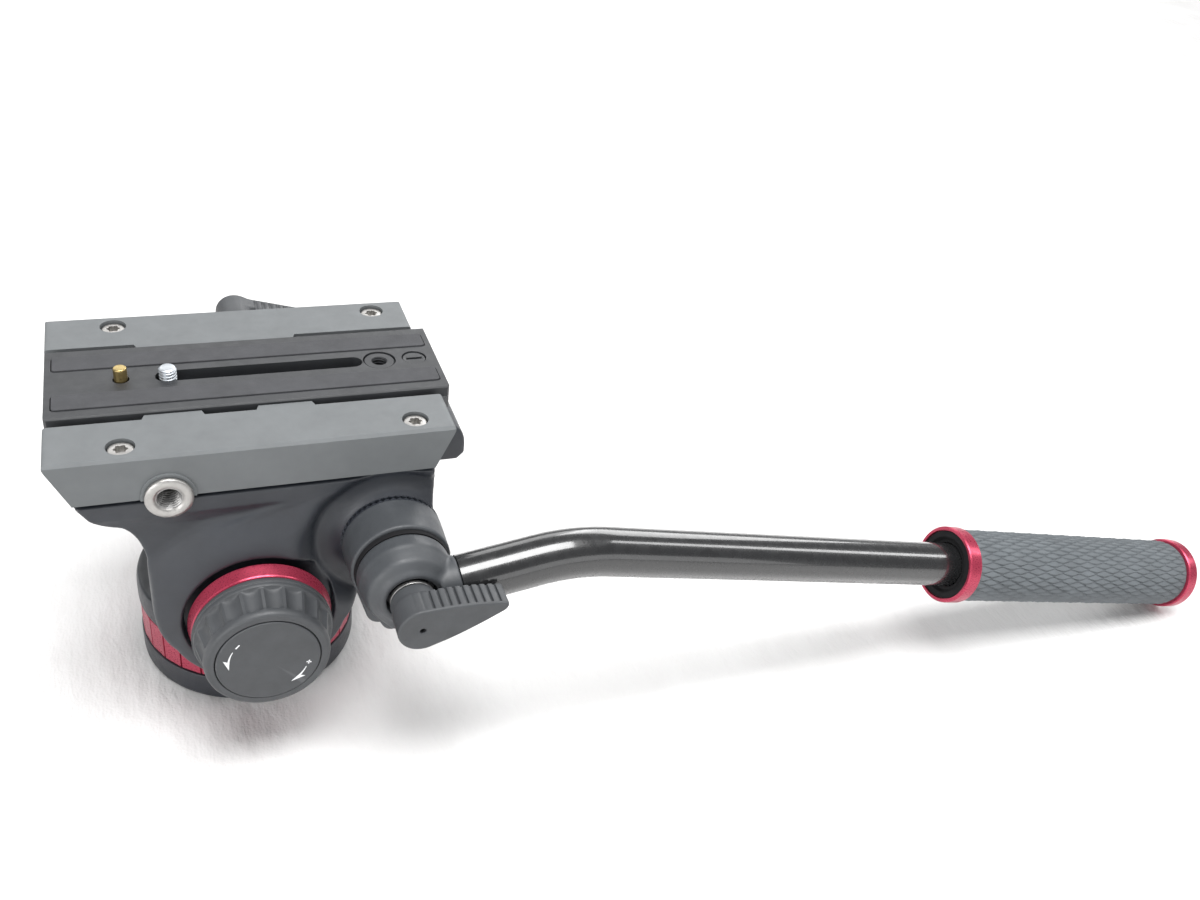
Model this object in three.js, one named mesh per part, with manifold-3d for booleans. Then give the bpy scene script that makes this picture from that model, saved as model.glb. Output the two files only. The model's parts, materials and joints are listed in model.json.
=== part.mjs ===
// Fluid video head: a panning base, a tilting cradle between two cheeks, a sliding camera
// plate in two rails, and a bent pan bar clamped on a rosette.
// Millimetres, +Z up. The origin is the centre of the foot's underside, on the pan axis.
// +X points to the operator, -X to the lens, and -Y is the side with the tilt drag knob.
import * as THREE from "three";
import { mergeVertices } from "three/addons/utils/BufferGeometryUtils.js";
import Module from "manifold-3d";

const wasm = await Module();
wasm.setup();

// Clearances
const seat = 0.3; // between pieces that are fastened to each other
const play = 0.45; // between pieces that move on each other
const overrun = 2; // how far a cutting body runs past the face it cuts
const screwEdgeShare = 0.17; // chamfer of a screw's head, of its height
const quarter = 90; // degrees

// Half the camera plate's width, which the bed under it and the rails beside it follow
const plateHalf = 25;

// Base
const footRadius = 43.35;
const footHeight = 12;
const footEdge = 3;
const footFloor = 9;
const bushRadius = 9;
const bushBore = 4.05;
const bushTop = 13.5;
const bushChamfer = 0.9;
const spindleFlangeRadius = 27;
const spindleFlangeThickness = 4;
const spindleRadius = 11;
const spindleBore = 5.2;
const spindleTop = 32.9;
const footScrewCount = 3;
const footScrewPhase = 90; // degrees
const footScrewCircle = 20;
const footScrewRadius = 1.9;
const footScrewHeadRadius = 3.5;
const footScrewHeadHeight = 3.4;
const footScrewSink = 1;
const collarWall = 6;

// Pan drag ring
const panRingRadius = 43;
const panRingHeight = 7.7;
const panRingWall = 6.4;
const panRingFacets = 30;
const panRingPhase = -157.8; // degrees, where a groove lies
const panRingGroove = 0.7;

// Pan housing
const drumRadius = 43.35;
const drumWallTop = 33;
const drumRimRadius = 42.1;
const drumTop = 39.3;
const bearingHeight = 7.6;
const bearingWall = 7.7;
const nutRadius = 15;
const nutHeight = 3.6;
const panCartridgeBore = 12.5;
const panCartridgeWall = 17;
const barrelRadius = 31.5;
const skirtRadius = 41.5;
const skirtSpread = 36.5;
const skirtFlare = 56;
const springRoomRadius = 20.2;
const springRoomHalf = 19;
const webWall = 1.2;

// Tilt axis
const tiltAxisZ = drumTop + 15.8;
const axleRadius = 8;
const axleCover = 2;
const lockScrewDepth = 16;
const tiltCartridgeRadius = 26.5;
const cartridgeSink = 2.3;
const springCoilRadius = 17.6;
const springWire = 3.4;
const springTurns = 5;

// Cradle casting
const cheekInner = 43.9;
const cheekOuter = 47;
const cheekRadius = 35;
const cheekLeft = -37;
const platformUnder = tiltAxisZ + barrelRadius + 14.4;
const platformThickness = 11.2;
const platformTop = platformUnder + platformThickness;
const platformHalf = 48.6;
const platformFront = -58.6;
const platformRear = 66;
const noseLip = [4.7, 7.3]; // from the platform's top front edge, back and down
const noseTuck = 8.4; // how far back the nose would meet the underside
const noseRear = 14; // how far back it does
const rearFaceBottom = platformTop - 19.7;
const lugThickness = 7;
const lugBottom = platformTop - 22.2;
const bedRise = 8.35;
const bedTop = platformTop + bedRise;
const bedHalf = plateHalf + 0.7;
const cheekArc = [203, 342]; // degrees round the tilt axis
const neckEase = 5.8;
const heelEase = [5.8, 8.7];
const bossArc = [253, 332]; // degrees round the hub
const domeTop = 53.3;
const domeRadius = 46;
const domeHole = 27.6;
const domeCrown = [36, 0.8]; // radius and depth at which the slopes of its profile meet
const domeLip = 0.9;
const domeFloor = 47.3;

// Pan bar hub on the cheeks
const hubX = 49.9;
const hubZ = tiltAxisZ + 27.4;
const rosetteSeam = 50;
const rosetteRadius = 19.05;
const rosetteBore = 4.4;
const rosetteTeeth = 24;
const toothDepth = 0.9;
const moatRadius = 28.6;
const moatFloor = 46.3;
const bossWall = 3;
// The ridge that runs from the dome up to the hub, as places in the cheek's plane
// from the tilt axis.
const ridgeLine = [[-18.8, 37.1], [2.9, 45.9], [26.5, 52.2], [49.9, 56]];
const ridgeFoot = [[49.9, 27], [20, 27]];
const moatDraft = 2.6;
const innerBossRadius = 8;
const innerBossFace = 36;

// Heights of the camera plate and the rails
const plateThickness = 10;
const plateTop = bedTop + play + plateThickness;
const railTop = plateTop - 1;

// Rails
const railFrontTop = -66.2;
const railRearTop = 73.8;
const railTaper = 8;
const railOuter = 49.15;
const railCorner = 2.6;
const railEdge = 1.1;
const railInner = plateHalf + 1.1;
const lipInner = plateHalf - 1.5;
const lipDepth = 3.6;
const nearLips = [
  [-32.8, -13.6],
  [5.9, 24.9],
];
const farLips = [[-33.2, 24.8]];
const lipSlant = 1.5;
const railScrewXs = [-41.1, 59.4];
const railScrewY = 41.3;
const railScrewHeadRadius = 4.35;
const railScrewHeadHeight = 4;
const railScrewSink = 1;
const railScrewShank = 2.4;
const railScrewLength = 20;
const railScrewDrive = 1.9;

// Accessory inserts
const insertX = -27.5;
const insertZ = platformTop + 1.2;
const insertFlangeRadius = 8.1;
const insertFaceRadius = 6.6;
const insertOuter = 52.1;
const insertBore = 4.1;
const insertBodyRadius = 6.2;
const insertInner = 40;
const insertCollarRadius = 9.2;
const insertCollarHeight = 0.8;
const insertChamferShare = 0.6;

// Camera plate
const plateFront = -65;
const plateRear = 77;
const plateTopHalf = plateHalf - 2.8;
const plateFlankDepth = 4.5;
const plateCorner = 3;
const padInner = 8.3;
const padOuter = plateTopHalf - 4.4;
const padFront = -62.5;
const padRear = 74.5;
const padSink = 1.2;
const padProud = 0.5;
const slotFront = -27.8;
const slotRear = 47.8;
const slotHalf = 3.6;
const slotShoulderHalf = 8.2;
const slotShoulderDepth = 4.6;
const slotShoulderRear = 48;
const cameraScrewX = -23.3;
const cameraScrewRadius = 3.175;
const cameraScrewTop = plateTop + 3.8;
const cameraScrewHeadRadius = 7.4;
const cameraScrewHeadHeight = 3;
const cameraScrewThreads = 4;
const retainerRadius = 6.6;
const retainerThickness = 0.8;
const cameraScrewThreadDepth = 0.5;
const threadShares = [0.1, 0.55]; // where the crest and the root lie in a turn
const pinX = -39.4;
const pinRadius = 2.4;
const pinTop = plateTop + 5;
const pinEdge = 0.6;
const pinFlange = 3.6;
const pinFlangeHeight = 2;
const reducerX = 54.5;
const reducerRadius = 6;
const reducerBore = 2.75;
const reducerSink = 0.4;
const reducerDepth = 3.6;
const plugX = 68.2;
const plugRadius = 4.5;
const plugDepth = 4;
const plugCoinShare = 0.7;
const plugCoinHalf = 0.7;
const plugSlotDepth = 1;

// Tilt drag knob
const knobRimRadius = 25.4;
const knobRimFace = 60.7;
const knobShoulder = 64.5;
const knobFrontRadius = 22.4;
const knobFront = 77.1;
const knobEdge = 1;
const knobFlutes = 20;
const fluteDepth = 1.1;
const knobStep = 1.1;
// How far round its pitch, and how deep, each point of a flute lies.
const fluteShares = [[0, 0], [0.32, 1], [0.72, 1]];
// How far along the fluted band, how far down its taper and how deep each ring of the knob lies.
const knobBandShares = [[0.1, 0.1, 1], [0.72, 0.75, 1], [0.8, 0.88, 0], [0.87, 1, 0]];
const knobRingRadius = 24.8;
const knobRingBore = 14;
const knobRingRear = 54;
const capRadius = 18.5;
const capFront = 77.5;
const capSink = 3;
const capEdge = 0.7;

// Tilt lock lever, far side
const lockHubRadius = 12;
const lockHubFoot = domeTop + 0.5;
const lockHubTop = 68;
const lockHubTaperShare = 0.88;
const lockArmLength = 46;
const lockArmRoot = 7.5;
const lockArmTip = 5;
const lockArmThickness = 7;
const lockArmFace = 57;
const lockAngle = -70; // degrees from +X
const lockScrewRadius = 2.5;
const lockScrewHeadRadius = 4.6;
const lockScrewHeadHeight = 4;

// Plate lock lever, far side
const plateLockX = 6;
const plateLockZ = plateTop - 10;
const plateLockHubRadius = 7.4;
const plateLockFoot = 50;
const plateLockFace = 65.5;
const plateLockArmLength = 34;
const plateLockArmRoot = 6.6;
const plateLockArmTip = 3.6;
const plateLockRidges = 9;
const ridgeStartShare = 0.9;
const ridgeEnd = 40; // degrees round the arm's tip
const lockDriveShare = 0.7;
const plateLockArmThickness = 8;
const plateLockAngle = -10; // degrees from +X
const plateLockScrewRadius = 2.8;
const plateLockHeadRadius = 4.4;
const plateLockHeadHeight = 3;
const plateLockPadRadius = 2.7;
const plateLockPadInner = plateHalf + 1;
const plateLockPadLength = 2.6;

// Plate release button, far rail
const releaseX = 45;
const releaseZ = plateTop - 10;
const releaseRadius = 3.6;
const releaseFace = 53.2;
const releaseInner = railInner + 4.9;
const releaseTravel = 3;
const releaseEdge = 0.6;

// Level housing
const levelHalf = 13;
const levelRear = 87.7;
const levelBottom = lugBottom - 1.7;
const levelTop = platformTop - 6.2;
const levelRound = 11;
const levelChamfer = 3;
const vialRadius = 6;
const vialX = 75;
const vialSink = 1;
const vialHeight = 5.2;
const vialBezel = 1.2;

// Pan lock lever, rear of the drum
const panLockZ = 30.3;
const panLockRadius = 6.6;
const panLockFoot = 43.8;
const panLockFace = 53.5;
const panLockArmLength = 25;
const panLockArmThickness = 5.4;
const panLockArmTip = 4.2;
const panLockScrewRadius = 2;
const panLockHeadRadius = 3.6;
const panLockHeadHeight = 2.6;
const panLockEdge = 0.8;
const panLockScrewInner = 33;

// Pan bar hub, from the rosette out to the lever
const segmentFace = 67;
const segmentRadius = 18.6;
const spacerFace = 69.9;
const spacerRadius = 15.6;
const cupFace = 84.4;
const cupRadius = 16.9;
const cupShoulder = 5;
const cupRecessRadius = 10.8;
const cupRecessDepth = 5;
const cupBossRadius = 6.6;
const tailAngle = -105; // degrees from +X
const segmentTailReach = 21;
const segmentTailRadius = 5.6;
const cupTailReach = 17.5;
const cupTailRadius = 4.2;
const cupTailFace = 75.5;
const lipInset = 1.5; // how far the tail's front lip stands in from the cup
const lipReach = 13;
const lipRadius = 5;
const spacerTailRadius = 3.2;
const washerRadius = 8.1;
const washerThickness = 1.4;
const clampBoltRadius = 3.6;
const clampBoltInner = 37;
const clampBoltOuter = 98;
const clampHubRadius = 8.8;
const clampHubRoot = 7.9;
const clampPinRadius = 1;
const clampFace = 102.3;
const clampTipX = 30.6;
const clampTipZ = 7.2;
const clampPaddleInner = 91.2;
const clampCrown = 1.2;
const clampRidges = 11;
const clampArc = [100, 285]; // degrees round the hub, from the top of the paddle to its belly
const clampRidgeShares = [0.16, 0.14]; // where the ridges start, and how wide half a ridge is
// Corners of the paddle's belly and nose, in lengths of the hub's radius or of the tip's place.
const clampBelly = [0.42, 0.66];
const clampNose = [[0.97, 0.52], [1.03, 0.75]];
const ridgeDepth = 0.9;

// Pan bar
const tubePlane = 79.5;
const tubeRadius = 9.7;
const tubeWall = 1.6;
const tubeRise = 8.9; // degrees
const tubeDrop = 12.3; // degrees
const tubeOffset = 2.8;
const tubeBendRadius = 80;
const tubeBendSteps = 6;
const neckLength = 2;
const spigotLength = 16;

// Grip
const gripEndX = 447;
const gripLength = 155;
const ringRadius = 17.2;
const ringFrontLength = 7;
const ringRearLength = 6;
const ringEdge = 1.1;
const sleeveRadius = 16.4;
const gripCoreRadius = 13.1;
const collarLength = 6;
const collarSink = 1.2;
const sleeveEdge = 0.8;
const capLength = 3;
const capSinkRear = 0.6;

// Facet counts round a turn
const fine = 36;
const round = 24;
const medium = 16;
const small = 12;
const tiny = 8;

// Finishes
const finish = (color, roughness, metalness) => ({ color, roughness, metalness });
const castBlack = finish(0x1c1e22, 0.55, 0.3);
const railGrey = finish(0x6f7476, 0.45, 0.4);
const knobGrey = finish(0x2b2d30, 0.6, 0);
const anodisedRed = finish(0x9c1226, 0.3, 0.8);
const brightSteel = finish(0xc4c6c8, 0.25, 1);
const zinc = finish(0xb4b8bc, 0.35, 1);
const brass = finish(0xb0863c, 0.35, 1);
const plateBlack = finish(0x2a2c2e, 0.5, 0.5);
const rubberBlack = finish(0x202122, 0.9, 0);
const tubeBlack = finish(0x08090a, 0.12, 0.2);
const gripRubber = finish(0x5b6368, 0.9, 0);
const vialGreen = finish(0x9bc93c, 0.1, 0);
const redPlastic = finish(0xb01020, 0.4, 0);

// Solids: closed geometries, joined and cut as such

function solidOf(geometry) {
  let closed = geometry;
  if (geometry.hasAttribute("normal")) {
    const bare = geometry.clone();
    bare.deleteAttribute("normal");
    bare.deleteAttribute("uv");
    closed = mergeVertices(bare);
  }
  const index = closed.index.array;
  const kept = [];
  for (let i = 0; i < index.length; i += 3) {
    const [a, b, c] = [index[i], index[i + 1], index[i + 2]];
    if (a !== b && b !== c && c !== a) kept.push(a, b, c);
  }
  return new wasm.Manifold(
    new wasm.Mesh({
      numProp: 3,
      vertProperties: new Float32Array(closed.attributes.position.array),
      triVerts: new Uint32Array(kept),
    }),
  );
}

function geometryOf(manifold) {
  const mesh = manifold.getMesh();
  const geometry = new THREE.BufferGeometry();
  geometry.setAttribute("position", new THREE.BufferAttribute(mesh.vertProperties, 3));
  geometry.setIndex(new THREE.BufferAttribute(mesh.triVerts, 1));
  return geometry;
}

function join(first, ...others) {
  return geometryOf(others.reduce((sum, other) => sum.add(solidOf(other)), solidOf(first)));
}

function cut(body, ...tools) {
  return geometryOf(tools.reduce((rest, tool) => rest.subtract(solidOf(tool)), solidOf(body)));
}

function common(first, ...others) {
  return geometryOf(others.reduce((rest, other) => rest.intersect(solidOf(other)), solidOf(first)));
}

// A copy on the other side of the XZ plane, with its faces turned back out.
function mirrored(geometry) {
  const copy = join(geometry);
  copy.scale(1, -1, 1);
  const index = copy.index.array;
  for (let i = 0; i < index.length; i += 3) {
    [index[i + 1], index[i + 2]] = [index[i + 2], index[i + 1]];
  }
  return copy;
}

function box([x0, x1], [y0, y1], [z0, z1]) {
  const geometry = new THREE.BoxGeometry(x1 - x0, y1 - y0, z1 - z0);
  return geometry.translate((x0 + x1) / 2, (y0 + y1) / 2, (z0 + z1) / 2);
}

// A turned body from [radius, distance along the axis] points, closed on itself.
function turned(profile, axis = "z", segments = round) {
  const points = profile.map(([r, h]) => new THREE.Vector2(Math.max(r, 0), h));
  if (THREE.ShapeUtils.area(points) < 0) points.reverse();
  points.push(points[0].clone());
  const geometry = new THREE.LatheGeometry(points, segments);
  if (axis === "z") geometry.rotateX(Math.PI / 2);
  if (axis === "x") geometry.rotateZ(-Math.PI / 2);
  return geometry;
}

const rod = (radius, [from, to], axis, segments) =>
  turned([[0, from], [radius, from], [radius, to], [0, to]], axis, segments);

const tubeRing = (inner, outer, [from, to], axis, segments) =>
  turned([[inner, from], [outer, from], [outer, to], [inner, to]], axis, segments);

// An outline in the XZ plane, run between two places on the Y axis.
function slabY(shape, [y0, y1], curveSegments = 8) {
  const geometry = new THREE.ExtrudeGeometry(shape, {
    depth: y1 - y0,
    bevelEnabled: false,
    curveSegments,
  });
  return geometry.rotateX(Math.PI / 2).translate(0, y1, 0);
}

// An outline in the XY plane, run between two heights.
function slabZ(shape, [z0, z1], curveSegments = 8) {
  const geometry = new THREE.ExtrudeGeometry(shape, {
    depth: z1 - z0,
    bevelEnabled: false,
    curveSegments,
  });
  return geometry.translate(0, 0, z0);
}

// An outline in the YZ plane, run between two places on the X axis.
function slabX(shape, [x0, x1], curveSegments = 8) {
  const geometry = new THREE.ExtrudeGeometry(shape, {
    depth: x1 - x0,
    bevelEnabled: false,
    curveSegments,
  });
  const turn = new THREE.Matrix4().makeBasis(
    new THREE.Vector3(0, 1, 0), new THREE.Vector3(0, 0, 1), new THREE.Vector3(1, 0, 0));
  return geometry.applyMatrix4(turn).translate(x0, 0, 0);
}

function outline(points) {
  return new THREE.Shape(points.map(([x, y]) => new THREE.Vector2(x, y)));
}

// The points of an arc, in degrees.
function arc([cx, cy], radius, from, to, steps) {
  const points = [];
  for (let i = 0; i <= steps; i += 1) {
    const angle = THREE.MathUtils.degToRad(from + ((to - from) * i) / steps);
    points.push([cx + radius * Math.cos(angle), cy + radius * Math.sin(angle)]);
  }
  return points;
}

// The points of a quadratic curve after its start.
function bend([x0, y0], [x1, y1], [x2, y2], steps) {
  const points = [];
  for (let i = 1; i <= steps; i += 1) {
    const t = i / steps;
    const [a, b, c] = [(1 - t) ** 2, 2 * t * (1 - t), t ** 2];
    points.push([a * x0 + b * x1 + c * x2, a * y0 + b * y1 + c * y2]);
  }
  return points;
}

// A bar with two round ends of different radius, from the origin along +X.
function taperedArm(length, rootRadius, tipRadius, steps = 8) {
  const lean = THREE.MathUtils.radToDeg(Math.asin((rootRadius - tipRadius) / length));
  return outline([
    ...arc([length, 0], tipRadius, lean - quarter, quarter - lean, steps),
    ...arc([0, 0], rootRadius, quarter - lean, 3 * quarter + lean, 2 * steps),
  ]);
}

const degrees = THREE.MathUtils.degToRad;

// A span of Y measured outwards, placed on the near side (-1) or the far side (1).
const spanOn = (side, span) => span.map((y) => side * y).sort((a, b) => a - b);

// Scene graph

const head = new THREE.Group();
head.name = "fluid_video_head";

function group(parent, x = 0, y = 0, z = 0) {
  const made = new THREE.Group();
  made.position.set(x, y, z);
  parent.add(made);
  return made;
}

function piece(parent, name, geometry, look) {
  geometry.computeVertexNormals();
  const mesh = new THREE.Mesh(geometry, new THREE.MeshStandardMaterial(look));
  mesh.name = name;
  parent.add(mesh);
  return mesh;
}

// Base: foot, tripod bush, spindle and its nut

const drumBottom = footHeight + seat + panRingHeight + seat;
const upstandTop = drumBottom - seat;
const flangeBottom = footFloor + seat;
const flangeTop = flangeBottom + spindleFlangeThickness;
const recessRadius = panRingRadius - panRingWall - play - collarWall;
const upstandRadius = panRingRadius - panRingWall - play;
const bushHole = bushRadius + seat;
const base = group(head);

function footScrewPlaces() {
  return Array.from({ length: footScrewCount }).map((_, i) => {
    const angle = degrees(footScrewPhase + (360 * i) / footScrewCount);
    return [footScrewCircle * Math.cos(angle), footScrewCircle * Math.sin(angle)];
  });
}

function baseFoot() {
  const body = turned([
    [bushHole, 0],
    ...arc([footRadius - footEdge, footEdge], footEdge, -quarter, 0, 3),
    [footRadius, footHeight],
    [upstandRadius, footHeight],
    [upstandRadius, upstandTop],
    [recessRadius, upstandTop],
    [recessRadius, footFloor],
    [bushHole, footFloor],
  ], "z", fine);
  const headHole = footScrewHeadRadius + seat;
  const shankHole = footScrewRadius + seat;
  const headSeat = footScrewSink + footScrewHeadHeight + seat;
  const holes = footScrewPlaces().flatMap(([x, y]) => [
    rod(headHole, [-overrun, headSeat], "z", tiny).translate(x, y, 0),
    rod(shankHole, [0, footFloor + overrun], "z", tiny).translate(x, y, 0),
  ]);
  return cut(body, ...holes);
}

function tripodThreadBush() {
  return turned([
    [bushBore + bushChamfer, seat],
    [bushRadius, seat],
    [bushRadius, bushTop],
    [bushBore, bushTop],
    [bushBore, seat + bushChamfer],
  ], "z", small);
}

function panSpindle() {
  const flangeHole = bushTop + seat;
  const body = turned([
    [bushHole, flangeBottom],
    [spindleFlangeRadius, flangeBottom],
    [spindleFlangeRadius, flangeTop],
    [spindleRadius, flangeTop],
    [spindleRadius, spindleTop],
    [spindleBore, spindleTop],
    [spindleBore, flangeHole],
    [bushHole, flangeHole],
  ], "z", medium);
  const shankHole = footScrewRadius + seat;
  return cut(body, ...footScrewPlaces().map(([x, y]) =>
    rod(shankHole, [0, flangeTop + overrun], "z", tiny).translate(x, y, 0)));
}

function screwBody(headRadius, headHeight, shankRadius, length, driveRadius) {
  const edge = headHeight * screwEdgeShare;
  const driveDepth = headHeight / 2;
  const body = turned([
    [0, 0],
    [headRadius - edge, 0],
    [headRadius, edge],
    [headRadius, headHeight],
    [shankRadius, headHeight],
    [shankRadius, headHeight + length],
    [0, headHeight + length],
  ], "z", tiny);
  const hexagon = outline(arc([0, 0], driveRadius, 0, 360, 6).slice(1));
  return cut(body, slabZ(hexagon, [-overrun, driveDepth]));
}

piece(base, "base_foot", baseFoot(), castBlack);
piece(base, "tripod_thread_bush", tripodThreadBush(), brightSteel);
piece(base, "pan_spindle", panSpindle(), brightSteel);
footScrewPlaces().forEach(([x, y], i) => {
  const length = flangeTop - footScrewSink - footScrewHeadHeight - seat;
  const screw = screwBody(
    footScrewHeadRadius, footScrewHeadHeight, footScrewRadius, length, footScrewRadius);
  piece(base, `foot_screw_${i + 1}`, screw, brightSteel).position.set(x, y, footScrewSink);
});

const bearingBottom = drumBottom + seat;
const bearingTop = bearingBottom + bearingHeight;
const nutBottom = bearingTop + play;
piece(base, "spindle_nut", tubeRing(
  spindleRadius + seat, nutRadius, [nutBottom, nutBottom + nutHeight], "z", medium), brightSteel);

// Pan drag ring: a turned ring with a flat between each pair of grooves

function panDragRing() {
  const pitch = 360 / panRingFacets;
  const half = THREE.MathUtils.radToDeg(panRingGroove / panRingRadius / 2);
  const points = [];
  for (let i = 0; i < panRingFacets; i += 1) {
    const at = panRingPhase + pitch * i;
    for (const [radius, angle] of [
      [panRingRadius - panRingGroove, at],
      [panRingRadius, at + half],
      [panRingRadius, at + pitch - half],
    ]) {
      points.push([radius * Math.cos(degrees(angle)), radius * Math.sin(degrees(angle))]);
    }
  }
  const shape = outline(points);
  const bore = new THREE.Path().absarc(0, 0, panRingRadius - panRingWall, 0, 2 * Math.PI, true);
  shape.holes.push(bore);
  const low = footHeight + seat;
  return slabZ(shape, [low, low + panRingHeight], fine / 2);
}

piece(group(head), "pan_drag_ring", panDragRing(), anodisedRed);

// Pan housing: drum and tilt tower in one casting, with the works inside it

const pan = group(head);
const bearingOuter = spindleRadius + play + bearingWall;
const bearingRoom = bearingOuter + seat;
const nutRoomTop = spindleTop + play;
const barrelHalf = cheekInner - play;
const cartridgeRoomRadius = tiltCartridgeRadius + seat;

function panHousing() {
  const drum = turned([
    [0, drumBottom],
    [drumRadius, drumBottom],
    [drumRadius, drumWallTop],
    ...bend([drumRadius, drumWallTop], [drumRadius, drumTop - drumRadius + drumRimRadius],
      [drumRimRadius, drumTop], 3),
    [0, drumTop],
  ], "z", fine);
  const barrel = rod(barrelRadius, [-barrelHalf, barrelHalf], "y", round)
    .translate(0, 0, tiltAxisZ);
  const skirt = slabY(outline([
    [-skirtSpread, drumBottom + seat],
    [skirtSpread, drumBottom + seat],
    [skirtSpread, drumTop],
    ...bend([skirtSpread, drumTop], [barrelRadius, drumTop + skirtSpread - barrelRadius],
      [barrelRadius, tiltAxisZ], 5),
    [-barrelRadius, tiltAxisZ],
    ...bend([-barrelRadius, tiltAxisZ], [-barrelRadius, drumTop + skirtSpread - barrelRadius],
      [-skirtSpread, drumTop], 5),
  ]), [-barrelHalf, barrelHalf]);
  // Round below, and open above, so that the barrel keeps its flat ends.
  const envelope = turned([
    [0, drumBottom],
    [skirtRadius, drumBottom],
    [skirtRadius, drumTop],
    [skirtFlare, drumTop + skirtFlare - skirtRadius],
    [skirtFlare, platformTop],
    [0, platformTop],
  ], "z", fine);
  const tower = common(join(barrel, skirt), envelope);
  const panRooms = [
    rod(bearingRoom, [drumBottom - overrun, bearingTop], "z", round),
    rod(nutRadius + play, [drumBottom, nutRoomTop], "z", round),
  ];
  const cartridgeRoom = [springRoomHalf + webWall, barrelHalf + overrun];
  const tiltRooms = [
    rod(springRoomRadius, [-springRoomHalf, springRoomHalf], "y", round),
    rod(axleRadius + play, [-barrelHalf, barrelHalf], "y", small),
    ...[-1, 1].map((side) => rod(cartridgeRoomRadius, spanOn(side, cartridgeRoom), "y", round)),
  ].map((tool) => tool.translate(0, 0, tiltAxisZ));
  return cut(join(drum, tower), ...panRooms, ...tiltRooms, panLockBore());
}

function panLockBore() {
  return rod(panLockScrewRadius + seat, [panLockScrewInner - seat, drumRadius + overrun], "x", tiny)
    .translate(0, 0, panLockZ);
}

function counterbalanceSpring() {
  class Coil extends THREE.Curve {
    getPoint(t, target = new THREE.Vector3()) {
      const angle = 2 * Math.PI * springTurns * t;
      const half = springRoomHalf - springWire;
      return target.set(
        springCoilRadius * Math.cos(angle),
        half * (2 * t - 1),
        springCoilRadius * Math.sin(angle),
      );
    }
  }
  const section = new THREE.Shape().absarc(0, 0, springWire / 2, 0, 2 * Math.PI);
  const stepsPerTurn = 8;
  return new THREE.ExtrudeGeometry(section, {
    steps: stepsPerTurn * springTurns,
    curveSegments: 2,
    extrudePath: new Coil(),
  }).translate(0, 0, tiltAxisZ);
}

piece(pan, "pan_housing", panHousing(), castBlack);
piece(pan, "pan_bearing", tubeRing(
  spindleRadius + play, bearingOuter, [bearingBottom, bearingTop], "z", small), brightSteel);
piece(pan, "pan_drag_cartridge", tubeRing(
  panCartridgeBore, panCartridgeBore + panCartridgeWall,
  [flangeTop + play, drumBottom - seat], "z", small), rubberBlack);

const cartridgeInner = springRoomHalf + webWall + seat;
const cartridgeOuter = barrelHalf - cartridgeSink;
for (const [name, side] of [["near", -1], ["far", 1]]) {
  const span = spanOn(side, [cartridgeInner, cartridgeOuter]);
  piece(pan, `tilt_drag_cartridge_${name}`, tubeRing(
    axleRadius + play, tiltCartridgeRadius, span, "y", small).translate(0, 0, tiltAxisZ), rubberBlack);
}
piece(pan, "counterbalance_spring", counterbalanceSpring(), brightSteel);

// Pan lock lever at the rear of the drum

const panLock = group(head, 0, 0, panLockZ);

function panLockLever() {
  const hub = turned([
    [0, panLockFoot],
    [panLockRadius, panLockFoot],
    [panLockRadius, panLockFace - panLockEdge],
    [panLockRadius - panLockEdge, panLockFace],
    [0, panLockFace],
  ], "x", small);
  const arm = slabZ(taperedArm(panLockArmLength, panLockRadius, panLockArmTip),
    [panLockFace - panLockArmThickness, panLockFace])
    .rotateZ(Math.PI / 2)
    .rotateY(Math.PI / 2);
  const headRoom = panLockHeadRadius + seat;
  const headSeat = panLockFace - panLockHeadHeight - seat;
  return cut(join(hub, arm),
    rod(headRoom, [headSeat, panLockFace + overrun], "x", tiny),
    rod(panLockScrewRadius + seat, [panLockFoot - overrun, panLockFace], "x", tiny));
}

function panLockScrew() {
  const length = panLockFace - panLockHeadHeight - panLockScrewInner;
  return screwBody(panLockHeadRadius, panLockHeadHeight, panLockScrewRadius, length,
    panLockScrewRadius).rotateY(-Math.PI / 2).translate(panLockFace, 0, 0);
}

piece(panLock, "pan_lock_lever", panLockLever(), knobGrey);
piece(panLock, "pan_lock_screw", panLockScrew(), brightSteel);

// Cradle: platform, two cheeks with their domes, and a rosette boss on each

const cradle = group(head);
const hub = [hubX, hubZ];
const bossRadius = rosetteRadius + bossWall;
const axleHole = axleRadius + seat;

// The platform's front end in the XZ plane: a lip that tucks under in a curve.
function nose(steps) {
  const [back, down] = noseLip;
  const lip = [platformFront + back, platformTop - down];
  return [
    [platformFront, platformTop],
    lip,
    ...bend(lip, [platformFront + noseTuck, platformUnder], [platformFront + noseRear, platformUnder],
      steps),
  ];
}

function cheekOutline() {
  const axis = [0, tiltAxisZ];
  const sweep = arc(axis, cheekRadius, ...cheekArc, 11);
  const boss = arc(hub, bossRadius, ...bossArc, 5);
  const [heelX, heelZ] = sweep.at(-1);
  return outline([
    ...nose(2),
    ...bend([platformFront + noseRear, platformUnder], [cheekLeft, platformUnder],
      [cheekLeft, platformUnder - 2 * noseRear], 4),
    [cheekLeft, tiltAxisZ + neckEase],
    ...bend([cheekLeft, tiltAxisZ + neckEase], [cheekLeft, tiltAxisZ - neckEase], sweep[0], 2),
    ...sweep.slice(1),
    ...bend([heelX, heelZ], [heelX + heelEase[0], heelZ + heelEase[1]], boss[0], 3),
    ...boss.slice(1),
    [platformRear, rearFaceBottom],
    [platformRear, platformTop],
  ]);
}

function platformOutline() {
  return outline([
    ...nose(2),
    [platformRear, platformUnder],
    [platformRear, platformTop],
  ]);
}

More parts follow.
